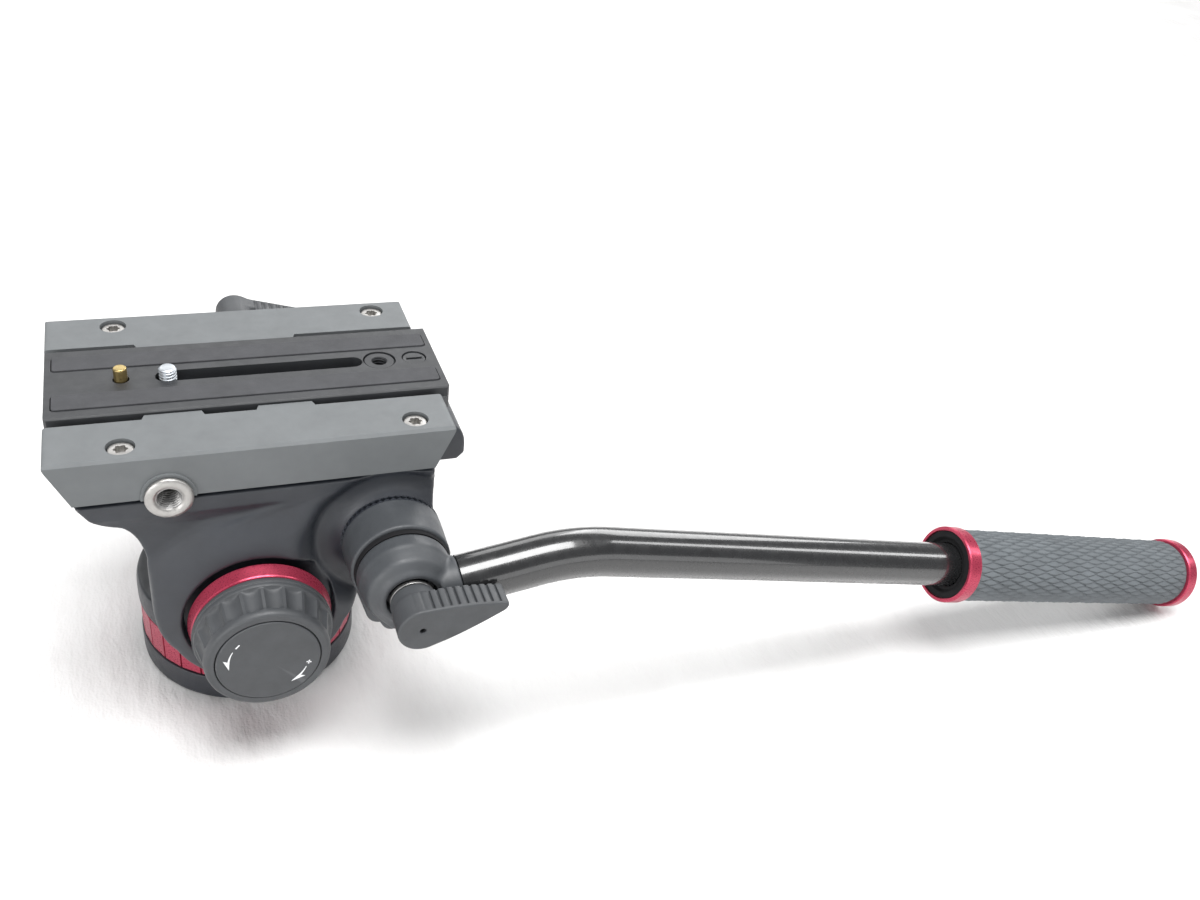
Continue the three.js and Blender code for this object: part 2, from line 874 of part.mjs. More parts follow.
// Radial teeth on a face that looks along -Y, with their roots at y = 0.
function toothedFace(inner, outer, depth, teeth) {
  const positions = [];
  const index = [];
  const steps = 2 * teeth;
  for (let i = 0; i < steps; i += 1) {
    const angle = (2 * Math.PI * i) / steps;
    const [c, s] = [Math.cos(angle), Math.sin(angle)];
    const top = i % 2 ? -depth : 0;
    positions.push(inner * c, top, inner * s, outer * c, top, outer * s);
    positions.push(inner * c, depth, inner * s, outer * c, depth, outer * s);
  }
  for (let i = 0; i < steps; i += 1) {
    const [a, b] = [4 * i, (4 * i + 4) % (4 * steps)];
    index.push(a, a + 1, b, b, a + 1, b + 1);
    index.push(a + 2, b + 2, a + 3, b + 2, b + 3, a + 3);
    index.push(a, b, a + 2, b, b + 2, a + 2);
    index.push(a + 1, a + 3, b + 1, b + 1, a + 3, b + 3);
  }
  const geometry = new THREE.BufferGeometry();
  geometry.setAttribute("position", new THREE.Float32BufferAttribute(positions, 3));
  geometry.setIndex(index);
  return geometry;
}

// One cheek at the near side, with its dome round the tilt axis.
function cheek() {
  const wall = slabY(cheekOutline(), [-cheekOuter, -cheekInner], 6);
  const dome = common(slabY(cheekOutline(), [-domeTop - overrun, -cheekInner], 6), turned([
    [0, -cheekInner],
    [0, -domeTop],
    [domeHole + domeLip, -domeTop],
    ...bend([domeHole + domeLip, -domeTop], [domeCrown[0], domeCrown[1] - domeTop],
      [domeRadius, -cheekOuter], 3),
    [domeRadius, -cheekInner],
  ], "y", round).translate(0, 0, tiltAxisZ));
  const ridge = slabY(outline([...ridgeLine, ...ridgeFoot].map(([x, z]) => [x, tiltAxisZ + z])),
    [-platformHalf, -cheekInner]);
  return join(wall, dome, ridge);
}

// The ring of space round the hub, wider at its mouth.
const moat = () => turned([
  [0, -moatFloor],
  [moatRadius, -moatFloor],
  [moatRadius + moatDraft, -domeTop],
  [0, -domeTop - overrun],
], "y", round).translate(hubX, 0, hubZ);

// The hub that stands in the moat: a hollow flare up to the rosette, and a boss inside the cheek.
function hubBoss() {
  const flareTop = toothDepth - rosetteSeam;
  const flare = turned([
    [0, -cheekInner],
    [0, flareTop],
    [rosetteRadius, flareTop],
    ...bend([rosetteRadius, flareTop], [rosetteRadius + bossWall, -moatFloor - seat],
      [moatRadius, -moatFloor], 3),
    [moatRadius, -cheekInner],
  ], "y", round).translate(hubX, 0, hubZ);
  const teeth = toothedFace(rosetteBoreRadius, rosetteRadius, toothDepth, rosetteTeeth)
    .translate(hubX, flareTop + seat / 2, hubZ);
  const innerBoss = rod(innerBossRadius, [-cheekInner - seat, -innerBossFace], "y", small)
    .translate(hubX, 0, hubZ);
  return join(common(flare, slabY(cheekOutline(), [-domeTop, -cheekInner], 6)), teeth, innerBoss);
}

const railSlope = railTaper / (railTop - platformTop - seat);
const railBottom = platformTop + seat;

const rosetteBoreRadius = rosetteBore + bossWall;
const screwTip = railTop - railScrewSink - railScrewHeadHeight - railScrewLength;

function insertHole(radius) {
  return rod(radius, [-domeTop - overrun, seat - insertInner], "y", small)
    .translate(insertX, 0, insertZ);
}

const insertHoleRadius = insertBodyRadius + seat;

function tiltCradle() {
  const platform = slabY(platformOutline(), [-platformHalf, platformHalf]);
  const bed = slabY(outline([
    [platformFront, platformTop],
    [platformFront, platformTop - seat],
    [platformRear, platformTop - seat],
    [platformRear, platformTop],
    [platformRear + bedRise * railSlope, bedTop],
    [platformFront - bedRise * railSlope, bedTop],
  ]), [-bedHalf, bedHalf]);
  const lug = box([platformRear - lugThickness, platformRear], [-levelHalf, levelHalf],
    [lugBottom, platformTop - seat]);
  const bothSides = (shape) => [shape, mirrored(shape)];
  const walls = join(platform, bed, lug, ...bothSides(cheek()));
  const body = join(cut(walls, ...bothSides(moat())), ...bothSides(hubBoss()));
  const boltHole = (side) => rod(clampBoltRadius + seat,
    spanOn(side, [innerBossFace - overrun, domeTop + overrun]), "y", small).translate(hubX, 0, hubZ);
  const knobRecess = rod(domeHole, [-domeTop - overrun, -domeFloor], "y", fine)
    .translate(0, 0, tiltAxisZ);
  const axleBore = rod(axleHole, [-domeTop, domeTop - axleCover], "y", small)
    .translate(0, 0, tiltAxisZ);
  const lockBore = rod(lockScrewRadius + seat, [cheekInner, domeTop + overrun], "y", tiny)
    .translate(0, 0, tiltAxisZ);
  const screwHoles = railScrewPlaces().map(([x, y]) =>
    rod(railScrewShank + seat, [screwTip - seat, platformTop + overrun], "z", tiny)
      .translate(x, y, 0));
  return cut(body, boltHole(-1), boltHole(1), knobRecess, axleBore, lockBore,
    ...bothSides(insertHole(insertHoleRadius)), ...screwHoles);
}

function railScrewPlaces() {
  return [-1, 1].flatMap((side) => railScrewXs.map((x) => [x, side * railScrewY]));
}

piece(cradle, "tilt_cradle", tiltCradle(), castBlack);

const axleNear = knobFront - capSink - 2;
const axleFar = domeTop - axleCover - seat;

function tiltAxle() {
  const body = rod(axleRadius, [-axleNear, axleFar], "y", small);
  const bore = rod(lockScrewRadius + seat, [axleFar - lockScrewDepth, axleFar + overrun], "y", tiny);
  return cut(body, bore).translate(0, 0, tiltAxisZ);
}

piece(cradle, "tilt_axle", tiltAxle(), brightSteel);

// Rails, one the mirror of the other but for their lips

function railOutline() {
  const lean = railSlope * railCorner;
  return outline([
    [railFrontTop + railTaper, railBottom],
    [railRearTop - railTaper, railBottom],
    [railRearTop - lean, railTop - railCorner],
    ...bend([railRearTop - lean, railTop - railCorner], [railRearTop, railTop],
      [railRearTop - railCorner, railTop], 3),
    [railFrontTop + railCorner, railTop],
    ...bend([railFrontTop + railCorner, railTop], [railFrontTop, railTop],
      [railFrontTop + lean, railTop - railCorner], 3),
  ]);
}

// A length of dovetail lip with slanted ends, on the near rail.
function railLip([front, rear]) {
  const rise = (railInner - lipInner) * lipSlant;
  const root = railInner + overrun;
  const flank = (plateHalf - plateTopHalf) / plateFlankDepth;
  const under = railTop - lipDepth;
  const plan = outline([
    [front, -lipInner],
    [front - rise, -railInner],
    [front - rise, -root],
    [rear + rise, -root],
    [rear + rise, -railInner],
    [rear, -lipInner],
  ]);
  const profile = outline([
    [-root, under],
    [-lipInner - flank * lipDepth, under],
    [-lipInner, railTop],
    [-root, railTop],
  ]);
  return common(
    slabZ(plan, [under - overrun, railTop + overrun]),
    slabX(profile, [front - rise - overrun, rear + rise + overrun]));
}

function rail(lips) {
  const block = slabY(railOutline(), [-railOuter, -railInner]);
  const section = slabX(outline([
    [-railOuter, railBottom],
    [-railInner, railBottom],
    [-railInner, railTop],
    [-railOuter + railEdge, railTop],
    [-railOuter, railTop - railEdge],
  ]), [railFrontTop - overrun, railRearTop + overrun]);
  const collar = common(
    rod(insertCollarRadius, [-railOuter - insertCollarHeight, -railOuter + overrun], "y", round)
      .translate(insertX, 0, insertZ),
    box([insertX - insertCollarRadius * 2, insertX + insertCollarRadius * 2],
      [-domeTop, -railInner], [railBottom, railTop]));
  const screwHoles = railScrewXs.flatMap((x) => [
    rod(railScrewHeadRadius + play, [railTop - railScrewSink - railScrewHeadHeight - seat,
      railTop + overrun], "z", small).translate(x, -railScrewY, 0),
    rod(railScrewShank + seat, [railBottom - overrun, railTop], "z", tiny)
      .translate(x, -railScrewY, 0),
  ]);
  return cut(join(common(block, section), ...lips.map(railLip), collar),
    insertHole(insertHoleRadius), ...screwHoles);
}

function farRail() {
  const across = [railInner - overrun * 2, railOuter + overrun];
  return cut(mirrored(rail(farLips)),
    rod(plateLockScrewRadius + play, across, "y", small).translate(plateLockX, 0, plateLockZ),
    rod(releaseRadius + play, [releaseInner - releaseTravel - play, railOuter + overrun], "y", small)
      .translate(releaseX, 0, releaseZ));
}

piece(cradle, "rail_near", rail(nearLips), railGrey);
piece(cradle, "rail_far", farRail(), railGrey);

const railScrew = screwBody(
  railScrewHeadRadius, railScrewHeadHeight, railScrewShank, railScrewLength, railScrewDrive)
  .rotateX(Math.PI);
railScrewPlaces().forEach(([x, y], i) => {
  piece(cradle, `rail_screw_${i + 1}`, railScrew.clone(), brightSteel)
    .position.set(x, y, railTop - railScrewSink);
});

function accessoryInsert() {
  const under = railOuter + insertCollarHeight + seat;
  const chamfer = insertFlangeRadius - insertFaceRadius;
  return turned([
    [insertBore, -insertInner],
    [insertBodyRadius, -insertInner],
    [insertBodyRadius, -under],
    [insertFlangeRadius, -under],
    [insertFlangeRadius, chamfer * insertChamferShare - insertOuter],
    [insertFaceRadius, -insertOuter],
    [insertBore + bushChamfer, -insertOuter],
    [insertBore, bushChamfer - insertOuter],
  ], "y", medium).translate(insertX, 0, insertZ);
}

piece(cradle, "accessory_insert_near", accessoryInsert(), brightSteel);
piece(cradle, "accessory_insert_far", mirrored(accessoryInsert()), brightSteel);

// Level housing and its vial behind the cradle

function levelHousing() {
  const front = platformRear + seat;
  const side = outline([
    [front, levelBottom + levelChamfer],
    [front + levelChamfer, levelBottom],
    [levelRear - levelChamfer, levelBottom],
    [levelRear, levelBottom + levelChamfer],
    [levelRear, levelTop - levelRound],
    ...bend([levelRear, levelTop - levelRound], [levelRear, levelTop],
      [levelRear - levelRound, levelTop], 6),
    [front, levelTop],
  ]);
  const socket = rod(vialRadius + seat, [levelTop - vialHeight - seat, levelTop + overrun], "z", small)
    .translate(vialX, 0, 0);
  return cut(slabY(side, [-levelHalf, levelHalf]), socket);
}

function levelVial() {
  const rim = levelTop - vialSink;
  const glass = rim - vialBezel / 2;
  return turned([
    [0, levelTop - vialHeight],
    [vialRadius, levelTop - vialHeight],
    [vialRadius, rim],
    [vialRadius - vialBezel, rim],
    ...bend([vialRadius - vialBezel, rim - vialBezel], [vialRadius / 2, glass], [0, glass], 3),
  ], "z", small).translate(vialX, 0, 0);
}

piece(cradle, "level_housing", levelHousing(), castBlack);
piece(cradle, "level_vial", levelVial(), vialGreen);

// Tilt drag knob, its cap and its red ring

// Rings of points round the Y axis, joined in order and closed at both ends.
function lofted(rings) {
  const count = rings[0].length;
  const positions = rings.flatMap((ring) => ring.flat());
  const index = [];
  rings.slice(1).forEach((_, k) => {
    for (let i = 0; i < count; i += 1) {
      const next = (i + 1) % count;
      const [a, b] = [k * count + i, k * count + next];
      index.push(a, a + count, b, b, a + count, b + count);
    }
  });
  const middle = (ring) => ring.reduce((sum, p) => sum.map((v, i) => v + p[i] / count), [0, 0, 0]);
  const first = positions.length / 3;
  positions.push(...middle(rings[0]), ...middle(rings.at(-1)));
  const last = (rings.length - 1) * count;
  for (let i = 0; i < count; i += 1) {
    const next = (i + 1) % count;
    index.push(first, i, next, first + 1, last + next, last + i);
  }
  const geometry = new THREE.BufferGeometry();
  geometry.setAttribute("position", new THREE.Float32BufferAttribute(positions, 3));
  geometry.setIndex(index);
  return geometry;
}

function knobRing(y, radius, depth) {
  const pitch = (2 * Math.PI) / knobFlutes;
  return Array.from({ length: knobFlutes }).flatMap((_, i) => fluteShares.map(([at, deep]) => {
    const r = radius - depth * deep;
    const angle = -pitch * (i + at);
    return [r * Math.cos(angle), -y, r * Math.sin(angle)];
  }));
}

function tiltDragKnob() {
  const band = knobFront - knobShoulder;
  const shoulderRadius = knobRimRadius - knobStep;
  const taper = shoulderRadius - knobFrontRadius;
  const body = lofted([
    knobRing(knobRimFace, knobRimRadius - knobEdge, 0),
    knobRing(knobRimFace + knobEdge, knobRimRadius, 0),
    knobRing(knobShoulder - knobEdge, knobRimRadius, 0),
    knobRing(knobShoulder, shoulderRadius, 0),
    ...knobBandShares.map(([along, down, deep]) => knobRing(
      knobShoulder + band * along, shoulderRadius - taper * down, fluteDepth * deep)),
    knobRing(knobFront, knobFrontRadius - knobEdge, 0),
  ]);
  return cut(body,
    rod(axleRadius + play, [-axleNear - seat, -knobRimFace + overrun], "y", small),
    rod(capRadius + seat, [-knobFront - overrun, capSink - knobFront], "y", round));
}

function tiltDragCap() {
  return turned([
    [0, capSink - seat - knobFront],
    [capRadius, capSink - seat - knobFront],
    [capRadius, capEdge - capFront],
    [capRadius - capEdge, -capFront],
    [0, -capFront],
  ], "y", round);
}

function tiltDragRing() {
  const front = seat - knobRimFace;
  return turned([
    [knobRingBore, -knobRingRear],
    [knobRingRadius, -knobRingRear],
    [knobRingRadius, front],
    [knobRingBore, front],
  ], "y", round);
}

const dragControl = group(head, 0, 0, tiltAxisZ);
piece(dragControl, "tilt_drag_knob", tiltDragKnob(), knobGrey);
piece(dragControl, "tilt_drag_cap", tiltDragCap(), knobGrey);
piece(dragControl, "tilt_drag_ring", tiltDragRing(), anodisedRed);

// Tilt lock lever on the far cheek

const tiltLock = group(head, 0, 0, tiltAxisZ);
const lockHeadSeat = lockHubTop - lockScrewHeadHeight - seat;

function tiltLockLever() {
  const hubBody = turned([
    [0, lockHubFoot],
    [lockHubRadius, lockHubFoot],
    [lockHubRadius * lockHubTaperShare, lockHubTop],
    [0, lockHubTop],
  ], "y", small);
  const arm = slabY(taperedArm(lockArmLength, lockArmRoot, lockArmTip),
    [lockArmFace, lockArmFace + lockArmThickness]).rotateY(-degrees(lockAngle));
  return cut(join(hubBody, arm),
    rod(lockScrewRadius + seat, [lockHubFoot - overrun, lockHubTop], "y", tiny),
    rod(lockScrewHeadRadius + seat, [lockHeadSeat, lockHubTop + overrun], "y", tiny));
}

function tiltLockScrew() {
  const length = lockHubTop - lockScrewHeadHeight - (axleFar - lockScrewDepth) - seat;
  return screwBody(lockScrewHeadRadius, lockScrewHeadHeight, lockScrewRadius, length,
    lockScrewRadius).rotateX(Math.PI / 2).translate(0, lockHubTop, 0);
}

piece(tiltLock, "tilt_lock_lever", tiltLockLever(), knobGrey);
piece(tiltLock, "tilt_lock_screw", tiltLockScrew(), brightSteel);

// Plate lock lever on the far rail

const plateLock = group(head, plateLockX, 0, plateLockZ);

function ridgedArm(length, root, tip, ridges, depth) {
  const lean = Math.asin((root - tip) / length);
  const turn = THREE.MathUtils.radToDeg(lean);
  const edge = [];
  const start = root * ridgeStartShare;
  const run = length - start;
  for (let i = 0; i < 2 * ridges; i += 1) {
    const along = start + (run * i) / (2 * ridges - 1);
    const out = root * Math.cos(lean) - (root - tip) * (along / length);
    const drop = i % 2 ? depth : 0;
    const step = run / (4 * ridges);
    edge.push([along - step, out - drop], [along + step, out - drop]);
  }
  return outline([
    ...arc([0, 0], root, quarter, 3 * quarter + turn, 12),
    ...arc([length, 0], tip, turn - quarter, ridgeEnd, 6),
    ...edge.reverse(),
  ]);
}

function plateLockLever() {
  const hubBody = rod(plateLockHubRadius, [plateLockFoot, plateLockFace], "y", small);
  const arm = slabY(ridgedArm(plateLockArmLength, plateLockArmRoot, plateLockArmTip,
    plateLockRidges, ridgeDepth), [plateLockFace - plateLockArmThickness, plateLockFace])
    .rotateY(-degrees(plateLockAngle));
  return cut(join(hubBody, arm),
    rod(plateLockScrewRadius + seat, [plateLockFoot - overrun, plateLockFace], "y", tiny),
    rod(plateLockHeadRadius + seat, [plateLockFace - plateLockHeadHeight - seat,
      plateLockFace + overrun], "y", tiny));
}

function plateLockScrew() {
  const inner = plateLockPadInner + plateLockPadLength + seat;
  const length = plateLockFace - plateLockHeadHeight - inner;
  return screwBody(plateLockHeadRadius, plateLockHeadHeight, plateLockScrewRadius, length,
    plateLockScrewRadius * lockDriveShare).rotateX(Math.PI / 2).translate(0, plateLockFace, 0);
}

piece(plateLock, "plate_lock_lever", plateLockLever(), knobGrey);
piece(plateLock, "plate_lock_screw", plateLockScrew(), brightSteel);
piece(plateLock, "plate_lock_pad", rod(plateLockPadRadius,
  [plateLockPadInner, plateLockPadInner + plateLockPadLength], "y", tiny), brass);

piece(group(head, releaseX, 0, releaseZ), "plate_release_button", turned([
  [0, releaseInner],
  [releaseRadius, releaseInner],
  [releaseRadius, releaseFace - releaseEdge],
  [releaseRadius - releaseEdge, releaseFace],
  [0, releaseFace],
], "y", small), redPlastic);

// Sliding camera plate with its pads, screw and pin

const slide = group(head);
const plateBottom = plateTop - plateThickness;
const shoulder = plateBottom + slotShoulderDepth;
const pinHoleTop = shoulder + pinFlangeHeight;

// A slot along X with round ends, between two heights.
function slot(front, rear, half, heights, y = 0) {
  return slabZ(outline([
    ...arc([rear - half, y], half, -quarter, quarter, 8),
    ...arc([front + half, y], half, quarter, 3 * quarter, 8),
  ]), heights);
}

function cameraPlate() {
  const section = slabX(outline([
    [-plateHalf, plateBottom],
    [plateHalf, plateBottom],
    [plateHalf, plateTop - plateFlankDepth],
    [plateTopHalf, plateTop],
    [-plateTopHalf, plateTop],
    [-plateHalf, plateTop - plateFlankDepth],
  ]), [plateFront, plateRear]);
  const corner = plateCorner;
  const plan = slabZ(outline([
    [plateFront + corner, -plateHalf],
    [plateRear - corner, -plateHalf],
    [plateRear, corner - plateHalf],
    [plateRear, plateHalf - corner],
    [plateRear - corner, plateHalf],
    [plateFront + corner, plateHalf],
    [plateFront, plateHalf - corner],
    [plateFront, corner - plateHalf],
  ]), [plateBottom - overrun, plateTop + overrun]);
  const padMiddle = (padInner + padOuter) / 2;
  const padHalf = (padOuter - padInner) / 2 + seat;
  const padRooms = [-1, 1].map((side) => slot(padFront - seat, padRear + seat, padHalf,
    [plateTop - padSink - seat, plateTop + overrun], side * padMiddle));
  const screwSlot = slot(slotFront, slotRear, slotHalf, [plateBottom - overrun, plateTop + overrun]);
  const shoulderFront = cameraScrewX - slotShoulderHalf - seat;
  const shoulderSlot = slot(shoulderFront, slotShoulderRear, slotShoulderHalf,
    [plateBottom - overrun, shoulder]);
  const pinHoles = [
    rod(pinRadius + play, [plateBottom, plateTop + overrun], "z", small),
    rod(pinFlange + play, [plateBottom - overrun, pinHoleTop], "z", small),
  ].map((tool) => tool.translate(pinX, 0, 0));
  const reducerRoom = rod(reducerRadius + seat,
    [plateTop - reducerSink - reducerDepth - seat, plateTop + overrun], "z", small)
    .translate(reducerX, 0, 0);
  const reducerHole = rod(reducerBore, [plateBottom - overrun, plateTop], "z", tiny)
    .translate(reducerX, 0, 0);
  const plugRoom = rod(plugRadius + seat, [plateTop - plugDepth - seat, plateTop + overrun], "z", small)
    .translate(plugX, 0, 0);
  return cut(common(section, plan), ...padRooms, screwSlot, shoulderSlot, ...pinHoles,
    reducerRoom, reducerHole, plugRoom);
}

piece(slide, "camera_plate", cameraPlate(), plateBlack);
for (const [name, side] of [["near", -1], ["far", 1]]) {
  const pad = slot(padFront, padRear, (padOuter - padInner) / 2,
    [plateTop - padSink, plateTop + padProud], side * (padInner + padOuter) / 2);
  piece(slide, `plate_pad_${name}`, pad, rubberBlack);
}

const reducerTop = plateTop - reducerSink;
piece(slide, "reducer_bush", tubeRing(reducerBore, reducerRadius,
  [reducerTop - reducerDepth, reducerTop], "z", small).translate(reducerX, 0, 0), plateBlack);

function platePlug() {
  const top = plateTop - reducerSink;
  const coin = plugRadius * plugCoinShare;
  return cut(
    rod(plugRadius, [plateTop - plugDepth, top], "z", small).translate(plugX, 0, 0),
    box([plugX - coin, plugX + coin], [-plugCoinHalf, plugCoinHalf], [top - plugSlotDepth, top + overrun]));
}

piece(slide, "plate_plug", platePlug(), plateBlack);

const retainerBottom = shoulder - seat - retainerThickness;
piece(group(head, cameraScrewX), "screw_retaining_ring", tubeRing(cameraScrewRadius + seat,
  retainerRadius, [retainerBottom, retainerBottom + retainerThickness], "z", small), rubberBlack);

function cameraScrew() {
  const headTop = retainerBottom - seat;
  const headBottom = headTop - cameraScrewHeadHeight;
  const threadFoot = plateTop + padProud;
  const pitch = (cameraScrewTop - threadFoot) / cameraScrewThreads;
  const root = cameraScrewRadius - cameraScrewThreadDepth;
  const thread = Array.from({ length: cameraScrewThreads }).flatMap((_, i) => [
    [cameraScrewRadius, threadFoot + pitch * (i + threadShares[0])],
    [root, threadFoot + pitch * (i + threadShares[1])],
  ]);
  const body = turned([
    [0, headBottom],
    [cameraScrewHeadRadius, headBottom],
    [cameraScrewHeadRadius, headTop],
    [cameraScrewRadius, headTop],
    ...thread,
    [root, cameraScrewTop],
    [0, cameraScrewTop],
  ], "z", small);
  const coin = cameraScrewHeadRadius * plugCoinShare;
  return cut(body, box([-coin, coin], [-plugCoinHalf, plugCoinHalf],
    [headBottom - overrun, headBottom + cameraScrewHeadHeight / 2]));
}

piece(group(head, cameraScrewX), "camera_screw", cameraScrew(), zinc);

function locatingPin() {
  const flangeTop = pinHoleTop - seat;
  return turned([
    [0, flangeTop - pinFlangeHeight],
    [pinFlange, flangeTop - pinFlangeHeight],
    [pinFlange, flangeTop],
    [pinRadius, flangeTop],
    [pinRadius, pinTop - pinEdge],
    [pinRadius - pinEdge, pinTop],
    [0, pinTop],
  ], "z", small);
}

piece(group(head, pinX), "locating_pin", locatingPin(), brass);

// Pan bar, clamped on the near rosette. Its group stands on the hub axis.

const bar = group(head, hubX, 0, hubZ);

function tombstone(radius, reach, tip, span) {
  return slabY(taperedArm(reach, radius, tip, 10), span).rotateY(-degrees(tailAngle));
}

function barRosette() {
  const faceY = rosetteSeam + seat / 2;
  const root = faceY + toothDepth;
  const block = join(
    turned([[0, -segmentFace], [segmentRadius, -segmentFace], [rosetteRadius, -root], [0, -root]],
      "y", round),
    tombstone(segmentRadius, segmentTailReach, segmentTailRadius, [-segmentFace, -domeTop - play]));
  const teeth = toothedFace(rosetteBoreRadius, rosetteRadius, toothDepth, rosetteTeeth)
    .rotateX(Math.PI)
    .translate(0, -root, 0);
  return cut(join(block, teeth), rod(clampBoltRadius + seat,
    [-segmentFace - overrun, -rosetteSeam + overrun], "y", small));
}

function barSpacer() {
  const span = [-spacerFace + seat, -segmentFace - seat];
  return cut(tombstone(spacerRadius, cupTailReach, spacerTailRadius, span),
    rod(clampBoltRadius + seat, [-spacerFace - overrun, overrun - segmentFace], "y", small));
}

const rise = degrees(tubeRise);
const drop = degrees(tubeDrop);
const gripEndZ = ringRadius * Math.cos(drop) - ringEdge * Math.sin(drop);

// Corner points of the tube's centre line, from the hub to the grip's end.
function tubeCorners() {
  const start = new THREE.Vector2(hubX, hubZ - tubeOffset);
  const end = new THREE.Vector2(gripEndX, gripEndZ);
  const fall = (end.x - start.x) * Math.tan(drop);
  const run = (end.y - start.y + fall) / (Math.tan(rise) + Math.tan(drop));
  const corner = new THREE.Vector2(start.x + run, start.y + run * Math.tan(rise));
  return { start, corner, end };
}

// The tube's centre line: a rise, a bend and a fall, with one ring of the tube at each station.
class TubePath extends THREE.Curve {
  constructor(front, rear) {
    super();
    const { start, corner, end } = tubeCorners();
    const up = new THREE.Vector2(Math.cos(rise), Math.sin(rise));
    const down = new THREE.Vector2(Math.cos(drop), -Math.sin(drop));
    const tangent = tubeBendRadius * Math.tan((rise + drop) / 2);
    const bendStart = corner.clone().addScaledVector(up, -tangent);
    const centre = bendStart.clone().add(new THREE.Vector2(up.y, -up.x).multiplyScalar(tubeBendRadius));
    this.stations = [{ at: start.clone().addScaledVector(up, front), slope: rise }];
    for (let i = 0; i <= tubeBendSteps; i += 1) {
      const slope = rise - ((rise + drop) * i) / tubeBendSteps;
      const out = new THREE.Vector2(-Math.sin(slope), Math.cos(slope)).multiplyScalar(tubeBendRadius);
      this.stations.push({ at: centre.clone().add(out), slope });
    }
    this.stations.push({ at: end.clone().addScaledVector(down, -rear), slope: -drop });
  }

  getPointAt(u) {
    const { at } = this.stations[Math.round(u * (this.stations.length - 1))];
    return new THREE.Vector3(at.x - hubX, -tubePlane, at.y - hubZ);
  }

  getTangentAt(u) {
    const { slope } = this.stations[Math.round(u * (this.stations.length - 1))];
    return new THREE.Vector3(Math.cos(slope), 0, Math.sin(slope));
  }
}

function panBarTube() {
  const path = new TubePath(cupRadius + neckLength + seat, capLength + seat);
  const section = new THREE.Shape().absarc(0, 0, tubeRadius, 0, 2 * Math.PI);
  section.holes.push(new THREE.Path().absarc(0, 0, tubeRadius - tubeWall, 0, 2 * Math.PI, true));
  return new THREE.ExtrudeGeometry(section, {
    steps: path.stations.length - 1,
    curveSegments: small / 2,
    extrudePath: path,
  });
}

// A cup whose tail steps in to a shorter lip, with an annular recess in its front.
function barSocket() {
  const body = tombstone(cupRadius, cupTailReach, cupTailRadius, [-cupTailFace, -spacerFace]);
  const lip = tombstone(cupRadius - lipInset, lipReach, lipRadius,
    [lipInset - cupFace, seat - cupTailFace]);
  const cup = turned([
    [0, -spacerFace],
    [cupRadius, -spacerFace],
    [cupRadius, cupShoulder - cupFace],
    ...bend([cupRadius, cupShoulder - cupFace], [cupRadius, -cupFace],
      [cupRadius - cupShoulder, -cupFace], 3),
    [0, -cupFace],
  ], "y", round);
  const along = (radius, end) => rod(radius, [cupRecessRadius + seat, end], "x", small)
    .rotateY(-rise).translate(0, -tubePlane, -tubeOffset);
  const neck = along(tubeRadius, cupRadius + neckLength);
  const spigot = along(tubeRadius - tubeWall - seat, cupRadius + spigotLength);
  return cut(join(body, lip, cup, neck, spigot),
    tubeRing(cupBossRadius, cupRecessRadius, [-cupFace - overrun, cupRecessDepth - cupFace], "y", round),
    rod(clampBoltRadius + seat, [-cupFace - overrun, overrun - spacerFace], "y", small));
}

const washerFace = cupFace + seat + washerThickness;

piece(bar, "bar_rosette", barRosette(), castBlack);
piece(bar, "bar_spacer", barSpacer(), rubberBlack);
piece(bar, "bar_socket", barSocket(), castBlack);
piece(bar, "pan_bar_tube", panBarTube(), tubeBlack);
piece(bar, "clamp_washer", tubeRing(clampBoltRadius + seat, washerRadius,
  [-washerFace, -cupFace - seat], "y", medium), brightSteel);

// Grip: its group stands at the end of the bar, along the fall of the tube.

const grip = group(bar, gripEndX - hubX, -tubePlane, gripEndZ - hubZ);
grip.rotation.y = drop;

const gripBore = tubeRadius + seat;
const shellBore = gripCoreRadius + seat;

function gripRing(front, rear) {
  return turned([
    [shellBore, front],
    [ringRadius - ringEdge, front],
    [ringRadius, front + ringEdge],
    [ringRadius, rear - ringEdge],
    [ringRadius - ringEdge, rear],
    [shellBore, rear],
  ], "x", round);
}

const sleeveFront = ringFrontLength - gripLength + seat;
const sleeveRear = -ringRearLength - seat;
const coreFront = collarLength - gripLength + seat;
piece(grip, "grip_core", tubeRing(gripBore, gripCoreRadius,
  [coreFront, -capLength - seat], "x", medium), rubberBlack);
piece(grip, "grip_sleeve", turned([
  [shellBore, sleeveFront],
  [sleeveRadius - sleeveEdge, sleeveFront],
  [sleeveRadius, sleeveFront + sleeveEdge],
  [sleeveRadius, sleeveRear - sleeveEdge],
  [sleeveRadius - sleeveEdge, sleeveRear],
  [shellBore, sleeveRear],
], "x", round), gripRubber);
piece(grip, "grip_ring_front", gripRing(-gripLength, ringFrontLength - gripLength), anodisedRed);
piece(grip, "grip_ring_rear", gripRing(-ringRearLength, 0), anodisedRed);
piece(grip, "grip_collar", tubeRing(gripBore, gripCoreRadius,
  [collarSink - gripLength, collarLength - gripLength], "x", medium), rubberBlack);
piece(grip, "grip_end_cap", turned([
  [0, -capLength],
  [gripCoreRadius, -capLength],
  [gripCoreRadius, -capSinkRear],
  [gripCoreRadius - capSinkRear, -capSinkRear / 2],
  [0, -capSinkRear / 2],
], "x", medium), rubberBlack);

// Clamp lever and the bolt that it turns, on the hub axis

const clamp = group(head, hubX, 0, hubZ);
const clampHubInner = washerFace + play;

